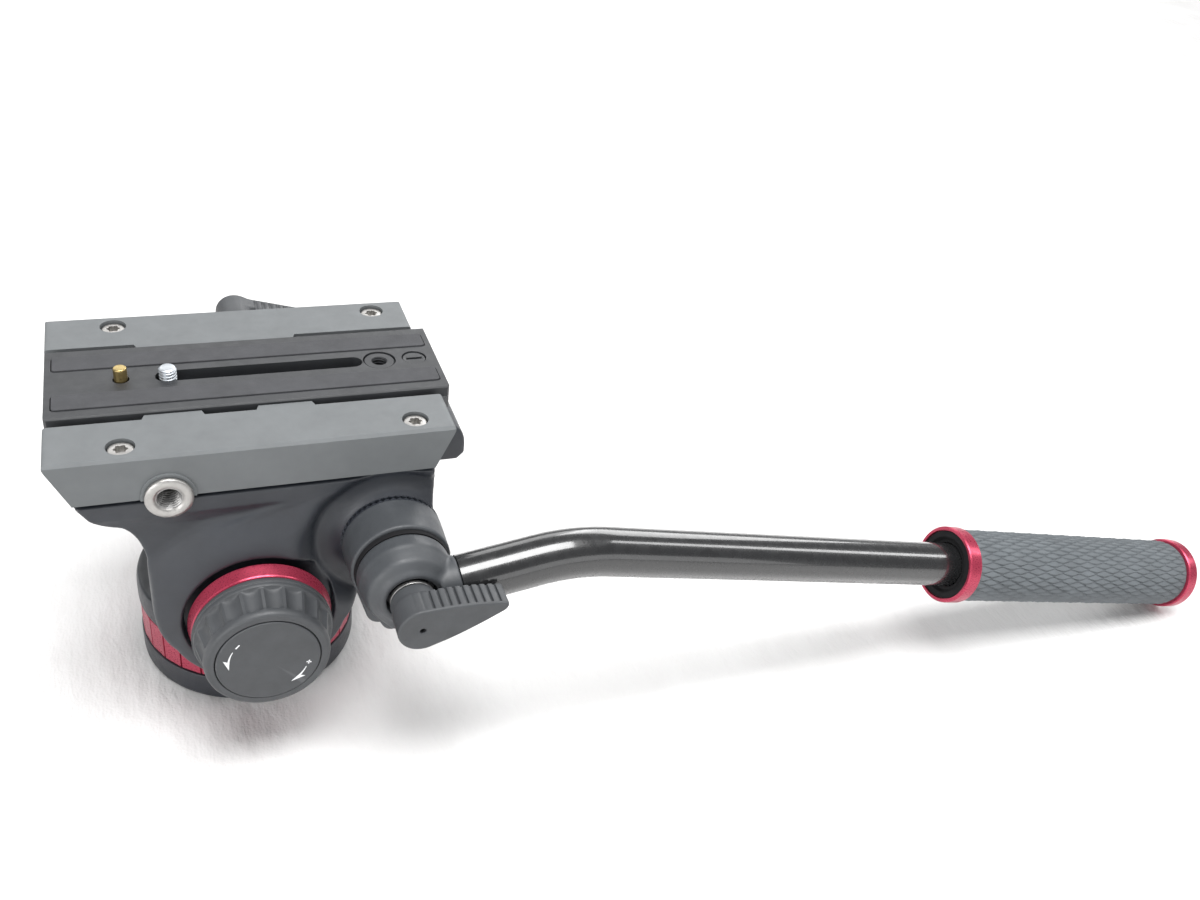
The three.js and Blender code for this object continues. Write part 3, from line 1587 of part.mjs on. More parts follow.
function clampLever() {
  const tip = [clampTipX, clampTipZ];
  const rim = arc([0, 0], clampHubRadius, ...clampArc, 14);
  const topStart = rim[0];
  const run = [tip[0] - topStart[0], tip[1] - topStart[1]];
  const [ridgeStart, ridgeHalf] = clampRidgeShares;
  const top = [];
  for (let i = 2 * clampRidges; i >= 1; i -= 1) {
    const along = ridgeStart + ((1 - ridgeStart) * i) / (2 * clampRidges + 1);
    const depth = i % 2 ? 0 : ridgeDepth;
    const crown = clampCrown * 4 * along * (1 - along);
    const half = ridgeHalf / clampRidges;
    for (const end of [half, -half]) {
      top.push([topStart[0] + run[0] * (along + end), topStart[1] + run[1] * along + crown - depth]);
    }
  }
  const [low, high] = clampNose.map(([x, z]) => [tip[0] * x, tip[1] * z]);
  const belly = [tip[0] * clampBelly[0], -clampHubRadius * clampBelly[1]];
  const face = outline([
    ...rim,
    ...bend(rim.at(-1), belly, low, 5),
    ...bend(low, high, tip, 3),
    ...top,
  ]);
  const body = join(
    turned([[0, -clampFace], [clampHubRadius, -clampFace], [clampHubRoot, -clampHubInner],
      [0, -clampHubInner]], "y", round),
    slabY(face, [-clampFace, -clampPaddleInner]));
  return cut(body,
    rod(clampBoltRadius + seat, [-clampBoltOuter - seat, overrun - clampHubInner], "y", small),
    rod(clampPinRadius, [-clampFace - overrun, -clampBoltOuter], "y", tiny));
}

piece(clamp, "clamp_lever", clampLever(), knobGrey);
piece(clamp, "clamp_bolt", rod(clampBoltRadius, [-clampBoltOuter, -clampBoltInner], "y", small),
  brightSteel);

export default head;
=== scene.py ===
"""Looks of a fluid video head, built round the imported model. Metres, +Z up, +X to the operator."""
import json
import math

import bmesh
import bpy
import numpy as np
from mathutils import Matrix, Vector


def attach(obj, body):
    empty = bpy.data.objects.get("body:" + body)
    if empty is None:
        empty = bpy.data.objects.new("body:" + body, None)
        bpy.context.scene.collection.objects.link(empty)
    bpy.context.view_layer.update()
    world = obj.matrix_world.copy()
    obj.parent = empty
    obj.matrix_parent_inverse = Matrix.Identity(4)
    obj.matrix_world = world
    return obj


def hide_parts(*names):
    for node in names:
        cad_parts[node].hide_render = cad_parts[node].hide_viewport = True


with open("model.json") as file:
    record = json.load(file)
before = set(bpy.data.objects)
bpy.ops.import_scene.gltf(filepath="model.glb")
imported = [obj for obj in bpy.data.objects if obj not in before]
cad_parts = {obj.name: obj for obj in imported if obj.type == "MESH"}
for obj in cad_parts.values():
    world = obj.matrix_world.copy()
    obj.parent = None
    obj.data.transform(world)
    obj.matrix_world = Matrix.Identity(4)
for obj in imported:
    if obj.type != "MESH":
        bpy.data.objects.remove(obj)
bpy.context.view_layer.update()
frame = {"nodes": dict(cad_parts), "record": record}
NODES = frame["nodes"]
MM = 0.001
SCENE = bpy.context.scene
ORIGIN = (0.0, 0.0, 0.0)


# Mesh building, in millimetres

def smooth_shaded(mesh, angle):
    """Smooth faces, with the edges sharper than the angle kept crisp."""
    bm = bmesh.new()
    bm.from_mesh(mesh)
    bmesh.ops.remove_doubles(bm, verts=bm.verts, dist=1e-7)
    bmesh.ops.recalc_face_normals(bm, faces=bm.faces)
    for edge in bm.edges:
        edge.smooth = len(edge.link_faces) == 2 and edge.calc_face_angle() < math.radians(angle)
    for face in bm.faces:
        face.smooth = True
    bm.to_mesh(mesh)
    bm.free()


def evaluated(made):
    """A copy of the piece's mesh with its modifiers applied."""
    return bpy.data.meshes.new_from_object(made.evaluated_get(bpy.context.evaluated_depsgraph_get()))


def applied(made):
    """The piece's new mesh, after its modifiers are applied and cleared."""
    mesh = evaluated(made)
    made.modifiers.clear()
    made.data = mesh
    return mesh


def settled(made):
    """The piece with each corner's normal led by its largest faces, so that flat faces shade flat."""
    made.modifiers.new("lead", "WEIGHTED_NORMAL").keep_sharp = True
    applied(made)
    return made


def mesh_of(name, points, faces, scale=1.0):
    mesh = bpy.data.meshes.new(name)
    mesh.from_pydata((scale * np.asarray(points, float)).tolist(), [], [[int(i) for i in face] for face in faces])
    return mesh


def placed(name, data):
    """A new object in the scene."""
    made = bpy.data.objects.new(name, data)
    SCENE.collection.objects.link(made)
    return made


def show(name, points, faces, body, slot, *nodes, angle=35.0, look=None):
    """A new piece that rides on a body and stands for the nodes, in its slot's look or another."""
    mesh = mesh_of(name, points, faces, MM)
    smooth_shaded(mesh, angle)
    made = placed(name, mesh)
    mesh.materials.append(MATERIALS[look or slot])
    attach(made, body)
    if nodes:
        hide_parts(*nodes)
    return made


def turns(count):
    """Angles evenly round a circle."""
    return np.linspace(0, 2 * np.pi, count, endpoint=False)


def polar(radius, degrees, centre=(0.0, 0.0)):
    turn = math.radians(degrees)
    return centre[0] + radius * math.cos(turn), centre[1] + radius * math.sin(turn)


def rotated(points, degrees, centre=(0.0, 0.0)):
    c, s = polar(1, degrees)
    return [(centre[0] + u * c - v * s, centre[1] + u * s + v * c) for u, v in points]


def arc(centre, radius, start, end, steps):
    return [polar(radius, angle, centre) for angle in np.linspace(start, end, steps + 1)]


def fillet(profile, closed=False, steps=5):
    """[x, y, radius] corners as points, each corner rounded with its radius."""
    points = [np.array(p[:2], float) for p in profile]
    radii = [p[2] if len(p) > 2 else 0.0 for p in profile]
    count = len(points)
    made = []
    for i, (p, radius) in enumerate(zip(points, radii)):
        if radius <= 0 or (not closed and i in (0, count - 1)):
            made.append(p)
            continue
        a, b = points[i - 1] - p, points[(i + 1) % count] - p
        la, lb = np.linalg.norm(a), np.linalg.norm(b)
        half = math.acos(max(-1.0, min(1.0, float(a @ b) / (la * lb)))) / 2
        reach = min(radius / max(math.tan(half), 1e-6), 0.49 * la, 0.49 * lb)
        start, end = p + a / la * reach, p + b / lb * reach
        for k in range(steps + 1):
            t = k / steps
            made.append((1 - t) ** 2 * start + 2 * t * (1 - t) * p + t ** 2 * end)
    return made


def on_axis(axis, radial, along, angle, centre=ORIGIN):
    """Points at a radius and an angle round an axis through the centre."""
    c, s = radial * np.cos(angle), radial * np.sin(angle)
    parts = {"x": (along, c, s), "y": (c, along, s), "z": (c, s, along)}[axis]
    return np.stack([np.broadcast_to(v, np.broadcast(radial, along, angle).shape) + o
                     for v, o in zip(parts, centre)], axis=-1)


def skin(rings, wrap=False, caps=True):
    """Points and faces of a surface through rings of equal count; wrap joins the last to the first."""
    rings = np.asarray(rings, float)
    rows, count = rings.shape[:2]
    points = rings.reshape(-1, 3)
    around = np.arange(count)
    faces = []
    for k in range(rows if wrap else rows - 1):
        a, b = k * count, ((k + 1) % rows) * count
        faces.extend(np.stack([a + around, a + (around + 1) % count, b + (around + 1) % count, b + around], 1).tolist())
    if caps and not wrap:
        faces.append([int(i) for i in around[::-1]])
        faces.append([int((rows - 1) * count + i) for i in around])
    return points, faces


def rings_at(profile, axis, centre=ORIGIN, segments=48, closed=False):
    """Rings through the [radius, along, fillet] corners of a profile."""
    return [on_axis(axis, r, h, turns(segments), centre) for r, h in fillet(profile, closed)]


def lathe(profile, axis, centre=ORIGIN, segments=96, closed=False, caps=True):
    """A turned body from the corners of its profile; closed joins the last corner to the first."""
    return skin(rings_at(profile, axis, centre, segments, closed), wrap=closed, caps=caps)


def show_turned(name, profile, axis, centre, body, slot, node, segments=96, closed=False, **looks):
    """A turned piece whose profile is closed, or starts and ends on its axis."""
    return show(name, *lathe(profile, axis, centre, segments, closed, caps=False), body, slot, node, **looks)


# Distance fields, for castings and moulded pieces whose faces run into each other

def grid(low, high, step):
    """The sparse X, Y and Z of a box's samples, then its axes and step."""
    axes = [np.arange(a - 2 * step, b + 3 * step, step, dtype=np.float32) for a, b in zip(low, high)]
    return np.meshgrid(*axes, indexing="ij", sparse=True), (axes, step)


def polygon(points, u, v):
    """Signed distance from a closed polygon over the sparse axes u and v."""
    u, v = np.broadcast_arrays(u, v)
    best = np.full(u.shape, np.inf, np.float32)
    inside = np.zeros(u.shape, bool)
    points = np.asarray(points, np.float32)
    for (x0, y0), (x1, y1) in zip(points, np.roll(points, -1, axis=0)):
        dx, dy = x1 - x0, y1 - y0
        length = dx * dx + dy * dy
        if length < 1e-9:
            continue
        t = np.clip(((u - x0) * dx + (v - y0) * dy) / length, 0, 1)
        best = np.minimum(best, (u - x0 - t * dx) ** 2 + (v - y0 - t * dy) ** 2)
        if dy:
            crosses = (y0 > v) != (y1 > v)
            inside ^= crosses & (u < (v - y0) / dy * dx + x0)
    return (np.sqrt(best) * np.where(inside, -1, 1)).astype(np.float32)


def slab(distance, along, low, high, edge=0.0):
    """A flat outline's distance, run from low to high, with its edges rounded."""
    across = np.abs(along - (low + high) / 2) - (high - low) / 2
    a, b = distance + edge, across + edge
    return np.minimum(np.maximum(a, b), 0) + np.sqrt(np.maximum(a, 0) ** 2 + np.maximum(b, 0) ** 2) - edge


def union(a, b, blend=0.0):
    if not blend:
        return np.minimum(a, b)
    h = np.maximum(blend - np.abs(a - b), 0) / blend
    return np.minimum(a, b) - h * h * blend / 4


def without(a, b, blend=0.0):
    return -union(-a, b, blend)


def within(a, b, blend=0.0):
    return -union(-a, -b, blend)


def bored(body, hole, past, blend=0.0):
    """The body without the hole's field, where the second field is below zero."""
    return without(body, np.maximum(hole, past), blend)


def surface(field, axes, step):
    """Points and faces where a sampled field is zero, one point to each crossed cell."""
    field = np.asarray(field, np.float32)
    nx, ny, nz = field.shape
    offsets = [(i, j, k) for i in (0, 1) for j in (0, 1) for k in (0, 1)]
    views = {o: field[o[0]:nx - 1 + o[0], o[1]:ny - 1 + o[1], o[2]:nz - 1 + o[2]] for o in offsets}
    count = sum((view < 0).astype(np.uint8) for view in views.values())
    active = (count > 0) & (count < 8)
    index = np.full(active.shape, -1, np.int64)
    index[active] = np.arange(int(active.sum()))
    total = np.zeros((int(active.sum()), 3))
    hits = np.zeros(int(active.sum()))
    for a in offsets:
        for axis in range(3):
            if a[axis]:
                continue
            b = tuple(o + (i == axis) for i, o in enumerate(a))
            va, vb = views[a][active], views[b][active]
            cross = (va < 0) != (vb < 0)
            t = np.where(cross, va / np.where(va == vb, 1, va - vb), 0)
            for i in range(3):
                total[:, i] += np.where(cross, a[i] + (t if i == axis else 0), 0)
            hits += cross
    cells = np.argwhere(active)
    points = np.array([axis[0] for axis in axes]) + step * (cells + total / hits[:, None])
    faces = []
    for axis in range(3):
        u, v = [i for i in range(3) if i != axis]
        here, ahead = [slice(1, -1)] * 3, [slice(1, -1)] * 3
        here[axis], ahead[axis] = slice(0, -1), slice(1, None)
        a, b = field[tuple(here)], field[tuple(ahead)]
        for flip, cross in ((False, (a < 0) & (b >= 0)), (True, (a >= 0) & (b < 0))):
            quad = []
            for du, dv in ((1, 1), (0, 1), (0, 0), (1, 0)):
                cell = np.argwhere(cross)
                cell[:, u] += du
                cell[:, v] += dv
                quad.append(index[tuple(cell.T)])
            quad = np.stack(quad, 1)
            faces.append(quad[:, ::-1] if flip != (axis == 1) else quad)
    return points, np.concatenate(faces)


def softened(field):
    """The field blurred over its nearest samples, so that edges turn over smoothly."""
    for axis in range(3):
        field = (np.roll(field, -1, axis) + np.roll(field, 1, axis) + 2 * field) / 4
    return field


def cast(name, field, box, body, slot, *nodes, keep=0.4, angle=50.0, look=None):
    """A piece from a field over a grid, with its flat stretches thinned out."""
    made = show(name, *surface(softened(field), *box), body, slot, *nodes, angle=180.0, look=look)
    made.modifiers.new("thin", "DECIMATE").ratio = keep
    smooth_shaded(applied(made), angle)
    return settled(made)


# Materials

NOISE_RANGE = (0.3, 0.7)
MATERIALS = {}


class Shader:
    """A procedural material whose nodes are added one by one."""

    def __init__(self, name, roughness, metallic=0.0, **sockets):
        self.material = bpy.data.materials.new(name)
        self.material.use_nodes = True
        self.tree = self.material.node_tree
        self.bsdf = self.tree.nodes["Principled BSDF"]
        self.bsdf.inputs["Roughness"].default_value = roughness
        self.bsdf.inputs["Metallic"].default_value = metallic
        for socket, value in sockets.items():
            self.bsdf.inputs[socket.replace("_", " ")].default_value = value
        self.place = self.add("ShaderNodeTexCoord").outputs["Object"]

    def add(self, kind, **values):
        node = self.tree.nodes.new(kind)
        for key, value in values.items():
            if hasattr(node, key):
                setattr(node, key, value)
            else:
                node.inputs[key.replace("_", " ")].default_value = value
        return node

    def link(self, source, target):
        self.tree.links.new(source, target)

    def stretched(self, scale):
        """The place, scaled along each axis, so that a grain runs one way."""
        mapping = self.add("ShaderNodeMapping", Scale=scale)
        self.link(self.place, mapping.inputs["Vector"])
        return mapping.outputs["Vector"]

    def noise(self, scale, detail=3.0, roughness=0.55, place=None):
        node = self.add("ShaderNodeTexNoise", Scale=scale, Detail=detail, Roughness=roughness)
        self.link(place or self.place, node.inputs["Vector"])
        return node.outputs["Fac"]

    def ramp(self, source, colors):
        """From the first colour to the second over the noise's middle range."""
        node = self.add("ShaderNodeValToRGB")
        for element, at, color in zip(node.color_ramp.elements, NOISE_RANGE, colors):
            element.position = at
            element.color = (*color, 1.0)
        self.link(source, node.inputs["Fac"])
        return node.outputs["Color"]

    def ranged(self, source, start, end, low=0.0, high=1.0):
        """The source from start to end, spread from low to high."""
        node = self.add("ShaderNodeMapRange", From_Min=start, From_Max=end, To_Min=low, To_Max=high)
        self.link(source, node.inputs["Value"])
        return node.outputs["Result"]

    def mix(self, amount, first, second):
        node = self.add("ShaderNodeMix", data_type="RGBA")
        for source, index in ((amount, 0), (first, 6), (second, 7)):
            if isinstance(source, (tuple, float)):
                node.inputs[index].default_value = (*source, 1.0) if isinstance(source, tuple) else source
            else:
                self.link(source, node.inputs[index])
        return node.outputs[2]

    def wear(self, low, high):
        """1 on convex edges and 0 elsewhere."""
        return self.ranged(self.add("ShaderNodeNewGeometry").outputs["Pointiness"], low, high)

    def drive(self, socket, source):
        self.link(source, self.bsdf.inputs[socket])

    def bump(self, source, distance, under=None):
        node = self.add("ShaderNodeBump", Distance=distance)
        self.link(source, node.inputs["Height"])
        if under is not None:
            self.link(under, node.inputs["Normal"])
        self.drive("Normal", node.outputs["Normal"])
        return node.outputs["Normal"]


def shades(color, spread):
    return tuple(c * (1 - spread) for c in color), tuple(c * (1 + spread) for c in color)


def painted(name, color, roughness, grain, depth, spread=0.12, worn=None, **sockets):
    """Paint or moulded plastic: an even colour with a fine grain, and edges that are rubbed lighter."""
    s = Shader(name, roughness, **sockets)
    tone = s.ramp(s.noise(90.0, 4.0), shades(color, spread))
    if worn:
        tone = s.mix(s.wear(0.53, 0.62), tone, worn)
    s.drive("Base Color", tone)
    s.drive("Roughness", s.ranged(s.noise(240.0, 3.0), *NOISE_RANGE, roughness - 0.06, roughness + 0.06))
    coarse = s.bump(s.noise(grain, 4.0, 0.6), depth)
    s.bump(s.noise(grain * 3.1, 2.0), depth * 0.4, under=coarse)
    MATERIALS[name] = s.material


def metal(name, color, roughness, scale, depth, spread=0.08, metallic=1.0):
    """Machined or plated metal with fine tool marks across the given scale of grain."""
    s = Shader(name, roughness, metallic)
    s.drive("Base Color", s.ramp(s.noise(160.0, 3.0), shades(color, spread)))
    grain = s.noise(1.0, 3.0, place=s.stretched(scale))
    s.drive("Roughness", s.ranged(grain, *NOISE_RANGE, roughness * 0.75, roughness * 1.3))
    s.bump(grain, depth)
    MATERIALS[name] = s.material


GRAIN = (900.0, 900.0, 3000.0)
painted("cast_black", (0.0165, 0.0195, 0.0255), 0.43, 1900.0, 0.00004, Specular_IOR_Level=0.6)
painted("rail_grey", (0.112, 0.120, 0.124), 0.55, 2600.0, 0.00003, 0.06)
painted("knob_grey", (0.045, 0.048, 0.052), 0.52, 2400.0, 0.00004, worn=(0.075, 0.078, 0.083))
painted("black_plastic", (0.008, 0.008, 0.009), 0.75, 2200.0, 0.00003, Specular_IOR_Level=0.2)
painted("plate_black", (0.023, 0.0245, 0.027), 0.5, 2600.0, 0.00002)
painted("pad_rubber", (0.036, 0.037, 0.041), 0.7, 1700.0, 0.00006)
painted("red_plastic", (0.42, 0.012, 0.022), 0.4, 2200.0, 0.00002)
painted("tube_black", (0.012, 0.0123, 0.013), 0.27, 400.0, 0.0000004, Specular_IOR_Level=0.5,
        Coat_Weight=1.0, Coat_Roughness=0.08)
painted("grip_rubber", (0.100, 0.112, 0.121), 0.7, 1500.0, 0.00005)
metal("bright_steel", (0.42, 0.41, 0.395), 0.42, GRAIN, 0.0000015)
metal("zinc", (0.52, 0.55, 0.58), 0.45, GRAIN, 0.000002)
metal("brass", (0.42, 0.32, 0.14), 0.34, GRAIN, 0.000002)
metal("anodised_red", (0.40, 0.042, 0.082), 0.3, (1200.0, 1200.0, 3000.0), 0.0000004, 0.03, 0.6)
painted("vial", (0.36, 0.62, 0.09), 0.06, 300.0, 0.000002, Coat_Weight=1.0)
# A darker copy of the bright steel: painted shade on the insert's bore thread and on the washer sunk in the bar's
# recess.
metal("steel_painted_shade", (0.36, 0.355, 0.35), 0.45, GRAIN, 0.000002)
# A lighter copy of cast_black: painted light on the bar's rosette and socket, where the top light falls.
painted("cast_painted_light", (0.045, 0.049, 0.054), 0.48, 1900.0, 0.00004)
painted("mark_white", (0.74, 0.75, 0.76), 0.5, 2600.0, 0.00001, 0.05)

for entry in frame["record"]["subparts"]:
    if entry["node"] in NODES:
        mesh = NODES[entry["node"]].data
        mesh.materials.clear()
        mesh.materials.append(MATERIALS[entry["material_slot"]])

# Cradle and housing castings

TILT_Z = 55.1
TILT = (0, TILT_Z)
TILT_AT = (0, 0, TILT_Z)
HUB = (49.9, 82.5)
HUB_AT = (HUB[0], 0, HUB[1])
INSERT = (-27.5, 113.4)
INSERT_AT = (INSERT[0], 0, INSERT[1])
RAIL_SCREWS, RAIL_SCREW_Y = (-41.1, 59.4), 41.3
PLATE_LOCK = (6.0, 121.0)
RELEASE_AT = (45, 0, 121)
PAN_LOCK = (0, 30.3)
PIN_AT, SCREW_AT, REDUCER_AT, PLUG_AT = (-39.4, 0, 0), (-23.3, 0, 0), (54.5, 0, 0), (68.2, 0, 0)
PAD_Y = 13.05
VIAL_AT = (75, 0, 0)
BAR_Y = -79.5
PLATFORM_TOP, PLATFORM_UNDER, PLATFORM_HALF = 112.2, 101.0, 48.6
CHEEK_INNER, CHEEK_OUTER, DOME_TOP = 43.9, 47.0, 53.3


def bend(start, control, end, steps):
    """The points of a quadratic curve after its start."""
    a, b, c = np.array(start), np.array(control), np.array(end)
    return [tuple((1 - t) ** 2 * a + 2 * t * (1 - t) * b + t ** 2 * c) for t in np.linspace(0, 1, steps + 1)[1:]]


def nose():
    lip = (-53.9, 104.9)
    return [(-58.6, PLATFORM_TOP), lip, *bend(lip, (-50.6, 101.8), (-46.0, PLATFORM_UNDER - 0.6), 8)]


def cheek_outline():
    sweep = arc(TILT, 33.4, 203, 342, 40)
    boss = arc(HUB, 22.05, 253, 332, 20)
    return [
        *nose(),
        *bend((-46.0, PLATFORM_UNDER - 0.6), (-38.6, 97.2), (-37, 84.0), 14),
        (-37, 60.9),
        *bend((-37, 60.9), (-37, 49.3), sweep[0], 8),
        *sweep[1:],
        *bend(sweep[-1], (sweep[-1][0] + 5.8, sweep[-1][1] + 8.7), boss[0], 10),
        *boss[1:],
        (66, 92.5),
        (66, PLATFORM_TOP),
    ]


def radius_of(u, v, centre):
    return np.sqrt((u - centre[0]) ** 2 + (v - centre[1]) ** 2)


def teeth(name, back, root, depth, body, node, count=48, inner=7.4, outer=19.05):
    """A flat ring of radial teeth whose tips point towards -Y when depth is negative."""
    angle = turns(4 * count)
    crown = root + depth * np.abs((np.arange(4 * count) % 4) - 2) / 2
    rings = [on_axis("y", r, y, angle, HUB_AT) for r, y in ((inner, back), (inner, crown), (outer, crown), (outer, back))]
    show(name, *skin(rings, wrap=True), body, "cast_black", node, angle=20)


def tilt_cradle():
    (x, y, z), box = grid((-60, -54, 19), (70, 54, 121), 0.55)
    out = np.abs(y)
    silhouette = polygon(cheek_outline(), x, z)
    wall = slab(silhouette, out, CHEEK_INNER, CHEEK_OUTER, 0.7)
    tilt = radius_of(x, z, TILT)
    dome_profile = [(0, CHEEK_INNER), (0, DOME_TOP), (28.5, DOME_TOP),
                    *bend((28.5, DOME_TOP), (36.0, DOME_TOP - 0.8), (46.0, CHEEK_OUTER), 12), (46.0, CHEEK_INNER)]
    dome = within(polygon(dome_profile, tilt, out), silhouette, 2.0)
    cheek = union(wall, dome, 1.2)
    ridge = polygon([(-18.8, 92.2), (2.9, 101.0), (26.5, 107.3), (49.9, 111.1), (49.9, 82.1), (20, 82.1)], x, z)
    above = 92.2 + 0.275 * (x + 18.8) - z
    lean = np.clip(0.2 * above, 0.0, 2.0)
    cheek = union(cheek, slab(ridge, out - lean, CHEEK_INNER, PLATFORM_HALF, 0.7), 1.6)
    hub = radius_of(x, z, HUB)
    moat = within((hub - 27.6 - 0.9 * np.maximum(out - 46.3, 0)) * 0.74, 46.3 - out)
    cheek = without(cheek, moat, 5.0)
    flare_profile = [(0, CHEEK_INNER), (0, 49.1), (19.05, 49.1),
                     *bend((19.05, 49.1), (22.0, 46.0), (29.0, 46.0), 12), (29.0, CHEEK_INNER)]
    flare = within(polygon(flare_profile, hub, out), silhouette, 0.8)
    cheek = union(cheek, flare, 2.5)
    cheek = union(cheek, within(hub - 8.0, np.maximum(out - 46, 36.0 - out), 0.8), 2.0)
    platform_profile = [*nose(), (66, PLATFORM_UNDER), (66, PLATFORM_TOP)]
    platform = slab(polygon(platform_profile, x, z), y, -PLATFORM_HALF, PLATFORM_HALF, 0.7)
    platform = within(platform, 0.92 * (out - 46.9 - 0.42 * (z - 100.6)))
    body = union(cheek, platform, 1.6)
    body = without(body, moat, 2.2)
    body = union(body, flare, 1.5)
    beside = np.maximum(PLATFORM_HALF - out, above)
    body = bored(body, beside, np.maximum(46.0 - tilt, 29.0 - hub))
    body = bored(body, 110.9 - z, 46.6 - out)
    slope = 8.0 / 17.5
    bed_profile = [(-58.6, 111), (66, 111), (66, PLATFORM_TOP), (66 + 8.35 * slope, 120.55),
                   (-58.6 - 8.35 * slope, 120.55), (-58.6, PLATFORM_TOP)]
    body = union(body, slab(polygon(bed_profile, x, z), y, -25.7, 25.7, 0.5))
    lug = slab(polygon([(59, 90), (66, 90), (66, 111), (59, 111)], x, z), y, -13, 13, 0.5)
    body = union(body, lug, 1.5)
    body = bored(body, hub - 3.9, 30 - out)
    body = bored(body, tilt - 27.6, 47.3 - np.where(y < 0, out, 0), 0.7)
    body = bored(body, tilt - 8.3, np.maximum(y - 51.3, -y - 60))
    body = bored(body, tilt - 2.8, 40 - y)
    body = bored(body, radius_of(x, z, INSERT) - 6.5, 39.7 - out)
    for along in RAIL_SCREWS:
        body = bored(body, radius_of(x, out, (along, RAIL_SCREW_Y)) - 2.7, 104.7 - z)
    cast("tilt_cradle_casting", body, box, "tilt_head", "cast_black", "tilt_cradle", keep=0.42)
    teeth("cradle_teeth_near", -48.6, -48.95, -0.9, "tilt_head", "tilt_cradle")
    teeth("cradle_teeth_far", 48.6, 48.95, 0.9, "tilt_head", "tilt_cradle")


def pan_housing():
    (x, y, z), box = grid((-44, -44, 20), (44, 44, 87), 0.55)
    axis = radius_of(x, y, (0, 0))
    drum_profile = [(0, 20.3), (36.3, 20.3), (36.3, 28.1), (42.9, 28.1), (43.35, 28.6), (43.35, 35.0),
                    *bend((43.35, 35.0), (43.35, 38.2), (42.1, 39.3), 8), (0, 39.3)]
    drum = polygon(drum_profile, axis, z)
    tilt = radius_of(x, z, TILT)
    barrel = slab(tilt - 31.5, y, -43.45, 43.45, 0.8)
    skirt_profile = [(-36.5, 28.4), (36.5, 28.4), (36.5, 39.3), *bend((36.5, 39.3), (31.5, 44.3), (31.5, TILT_Z), 14),
                     (-31.5, TILT_Z), *bend((-31.5, TILT_Z), (-31.5, 44.3), (-36.5, 39.3), 14)]
    skirt = slab(polygon(skirt_profile, x, z), y, -43.45, 43.45, 0.8)
    envelope = polygon([(0, 28.4), (41.5, 28.4), (41.5, 39.3), (56, 53.8), (56, 112), (0, 112)], axis, z)
    body = union(drum, within(union(barrel, skirt, 0.5), envelope, 0.8), 2.4)
    body = bored(body, axis - 19.45, z - 28.2)
    body = bored(body, axis - 15.45, z - 33.35)
    body = bored(body, tilt - 20.2, np.abs(y) - 19.0)
    body = bored(body, tilt - 8.45, np.abs(y) - 44.5)
    body = bored(body, tilt - 26.8, 20.2 - np.abs(y))
    body = bored(body, radius_of(y, z, PAN_LOCK) - 2.3, 32.7 - x)
    cast("pan_housing_casting", body, box, "pan_body", "cast_black", "pan_housing", keep=0.42)


def pan_drag_ring():
    facets, outer = 30, 43.0
    corner = outer * math.cos(math.radians(5.2))
    groove = [(-0.55, outer), (-0.3, outer - 0.75), (0.3, outer - 0.75), (0.55, outer), (0.95, outer)]
    flat = [(at, corner / math.cos(math.radians(at - 6.0))) for at in np.linspace(2.0, 10.6, 7)]
    angles = np.radians([-157.8 + 360 / facets * k + at for k in range(facets) for at, _ in groove + flat])
    radii = np.array([radius for _ in range(facets) for _, radius in groove + flat])
    profile = [(None, 12.3), (-0.5, 12.3), (0.0, 12.8), (0.0, 27.3), (-0.5, 27.8), (None, 27.8)]
    rings = [on_axis("z", 36.6 if drop is None else radii + drop, height, angles) for drop, height in profile]
    show("pan_drag_ring_turned", *skin(rings, wrap=True), "pan_drag", "anodised_red", "pan_drag_ring", angle=12)


tilt_cradle()
pan_housing()
pan_drag_ring()


# Solids joined and cut exactly, with their edges broken

def prism(outline, axis, low, high):
    """A flat outline run along an axis. Its two coordinates are the other axes, in order."""
    points = [{"x": (at, u, v), "y": (u, at, v), "z": (u, v, at)}[axis] for at in (low, high) for u, v in outline]
    n = len(outline)
    faces = [list(range(n)), list(range(2 * n - 1, n - 1, -1))]
    faces += [[i, i + n, (i + 1) % n + n, (i + 1) % n] for i in range(n)]
    return points, faces


def brick(low, high):
    return prism([(low[0], low[1]), (high[0], low[1]), (high[0], high[1]), (low[0], high[1])], "z", low[2], high[2])


def rod(radius, low, high, axis, centre=ORIGIN, segments=64):
    return lathe([(radius, low), (radius, high)], axis, centre, segments)


def carved(name, first, steps, body, slot, *nodes, bevel=0.0, angle=30.0, look=None):
    """A solid with others joined, cut or kept in common, and its edges bevelled."""
    def bare(label, part):
        mesh = mesh_of(label, *part)
        bm = bmesh.new()
        bm.from_mesh(mesh)
        bmesh.ops.recalc_face_normals(bm, faces=bm.faces)
        bm.to_mesh(mesh)
        bm.free()
        return placed(label, mesh)

    base = bare(name + "_first", first)
    tools = [bare(name + "_tool", part) for _, part in steps]
    for (kind, _), tool in zip(steps, tools):
        step = base.modifiers.new("step", "BOOLEAN")
        step.operation, step.solver, step.object = kind, "EXACT", tool
    if bevel:
        edge = base.modifiers.new("edge", "BEVEL")
        edge.width, edge.segments = bevel, 2
        edge.limit_method, edge.angle_limit = "ANGLE", math.radians(angle)
    bpy.context.view_layer.update()
    mesh = evaluated(base)
    points = [tuple(v.co) for v in mesh.vertices]
    faces = [tuple(p.vertices) for p in mesh.polygons]
    for made in (base, *tools):
        data = made.data
        bpy.data.objects.remove(made)
        bpy.data.meshes.remove(data)
    bpy.data.meshes.remove(mesh)
    return settled(show(name, points, faces, body, slot, *nodes, angle=50, look=look))


CUT, ADD, KEEP = "DIFFERENCE", "UNION", "INTERSECT"


# Base

FOOT_SCREWS = [polar(20, 90 + 120 * k) for k in range(3)]


